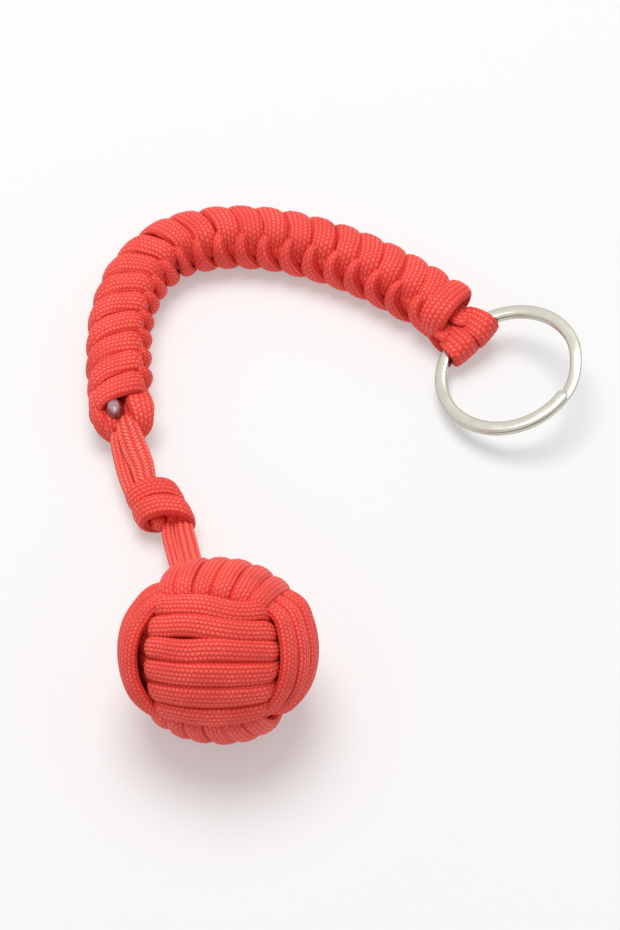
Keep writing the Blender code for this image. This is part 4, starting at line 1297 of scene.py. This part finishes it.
class KEYCHAIN_OT_stage(bpy.types.Operator):
    """Set the pale floor, the soft light and the camera"""
    bl_idname = "keychain.stage"
    bl_label = "Studio Stage"

    def execute(self, context):
        scene = context.scene
        stage = scene.keychain_stage
        scene.view_settings.view_transform = "Standard"
        camera = bpy.data.objects.new("camera", bpy.data.cameras.new("camera"))
        camera.data.lens = stage.focal
        camera.data.sensor_width = SENSOR
        back = Vector((0.0, -math.cos(stage.elevation), math.sin(stage.elevation)))
        camera.location = AIM + back * stage.distance
        camera.rotation_euler = (-back).to_track_quat("-Z", "Y").to_euler()
        camera.data.clip_start = NEAREST
        scene.collection.objects.link(camera)
        scene.camera = camera
        self.add_floor(scene)
        self.add_world(scene)
        self.add_light(scene)
        return {"FINISHED"}

    def add_light(self, scene):
        light = bpy.data.lights.new("key_light", "AREA")
        light.shape = "DISK"
        light.size = KEY_SIZE
        light.energy = KEY_POWER
        lamp = bpy.data.objects.new("key_light", light)
        lamp.location = KEY_PLACE
        lamp.rotation_euler = (-KEY_PLACE).to_track_quat("-Z", "Y").to_euler()
        scene.collection.objects.link(lamp)

    def add_floor(self, scene):
        shape = bmesh.new()
        bmesh.ops.create_grid(shape, x_segments=1, y_segments=1, size=FLOOR_SIZE)
        mesh = mesh_of(shape, "floor")
        material, shader = new_material("pale_floor")
        tree = material.node_tree
        shown = direct_view(tree)
        greys = [(grey,) * 3 for grey in FLOOR_GREYS]
        tree.links.new(mix_colour(tree, shown, *greys), shader.inputs["Base Color"])
        shader.inputs["Emission Color"].default_value = (1.0, 1.0, 1.0, 1.0)
        glow = ramp_value(tree, shown, 0.0, 1.0, 0.0, FLOOR_GLOW)
        tree.links.new(glow, shader.inputs["Emission Strength"])
        shader.inputs["Roughness"].default_value = FLOOR_ROUGHNESS
        shader.inputs["Specular IOR Level"].default_value = 0.0
        mesh.materials.append(material)
        floor = bpy.data.objects.new("floor", mesh)
        scene.collection.objects.link(floor)

    def add_world(self, scene):
        world = bpy.data.worlds.new("studio")
        world.use_nodes = True
        scene.world = world
        tree = world.node_tree
        background = tree.nodes["Background"]
        strength = ramp_value(tree, direct_view(tree), 0.0, 1.0, *SKY)
        background.inputs["Color"].default_value = (1.0, 1.0, 1.0, 1.0)
        tree.links.new(strength, background.inputs["Strength"])


class KEYCHAIN_PT_panel(bpy.types.Panel):
    """Lists the key chain's pieces"""
    bl_label = "Key Chain"
    bl_idname = "KEYCHAIN_PT_panel"
    bl_space_type = "VIEW_3D"
    bl_region_type = "UI"
    bl_category = "Key Chain"

    def draw(self, context):
        for operator in OPERATORS:
            self.layout.operator(operator.bl_idname)


SETTINGS = {
    "keychain_cord": CordSettings,
    "keychain_fist": FistSettings,
    "keychain_bar": BarSettings,
    "keychain_neck": NeckSettings,
    "keychain_ring": RingSettings,
    "keychain_finish": FinishSettings,
    "keychain_stage": StageSettings,
}
OPERATORS = (
    KEYCHAIN_OT_ball,
    KEYCHAIN_OT_fist,
    KEYCHAIN_OT_core,
    KEYCHAIN_OT_bar,
    KEYCHAIN_OT_bar_start,
    KEYCHAIN_OT_neck,
    KEYCHAIN_OT_knot,
    KEYCHAIN_OT_loops,
    KEYCHAIN_OT_ring,
    KEYCHAIN_OT_stage,
)


def register():
    for settings in SETTINGS.values():
        bpy.utils.register_class(settings)
    for operator in OPERATORS:
        bpy.utils.register_class(operator)
    bpy.utils.register_class(KEYCHAIN_PT_panel)
    for name, settings in SETTINGS.items():
        setattr(bpy.types.Scene, name, bpy.props.PointerProperty(type=settings))


def unregister():
    for name in SETTINGS:
        delattr(bpy.types.Scene, name)
    bpy.utils.unregister_class(KEYCHAIN_PT_panel)
    for operator in reversed(OPERATORS):
        bpy.utils.unregister_class(operator)
    for settings in reversed(list(SETTINGS.values())):
        bpy.utils.unregister_class(settings)


def main():
    register()
    bpy.ops.keychain.ball()
    bpy.ops.keychain.fist()
    bpy.ops.keychain.core()
    bpy.ops.keychain.bar()
    bpy.ops.keychain.bar_start()
    bpy.ops.keychain.neck()
    bpy.ops.keychain.knot()
    bpy.ops.keychain.loops()
    bpy.ops.keychain.ring()
    bpy.ops.keychain.stage()


if __name__ == "__main__":
    main()
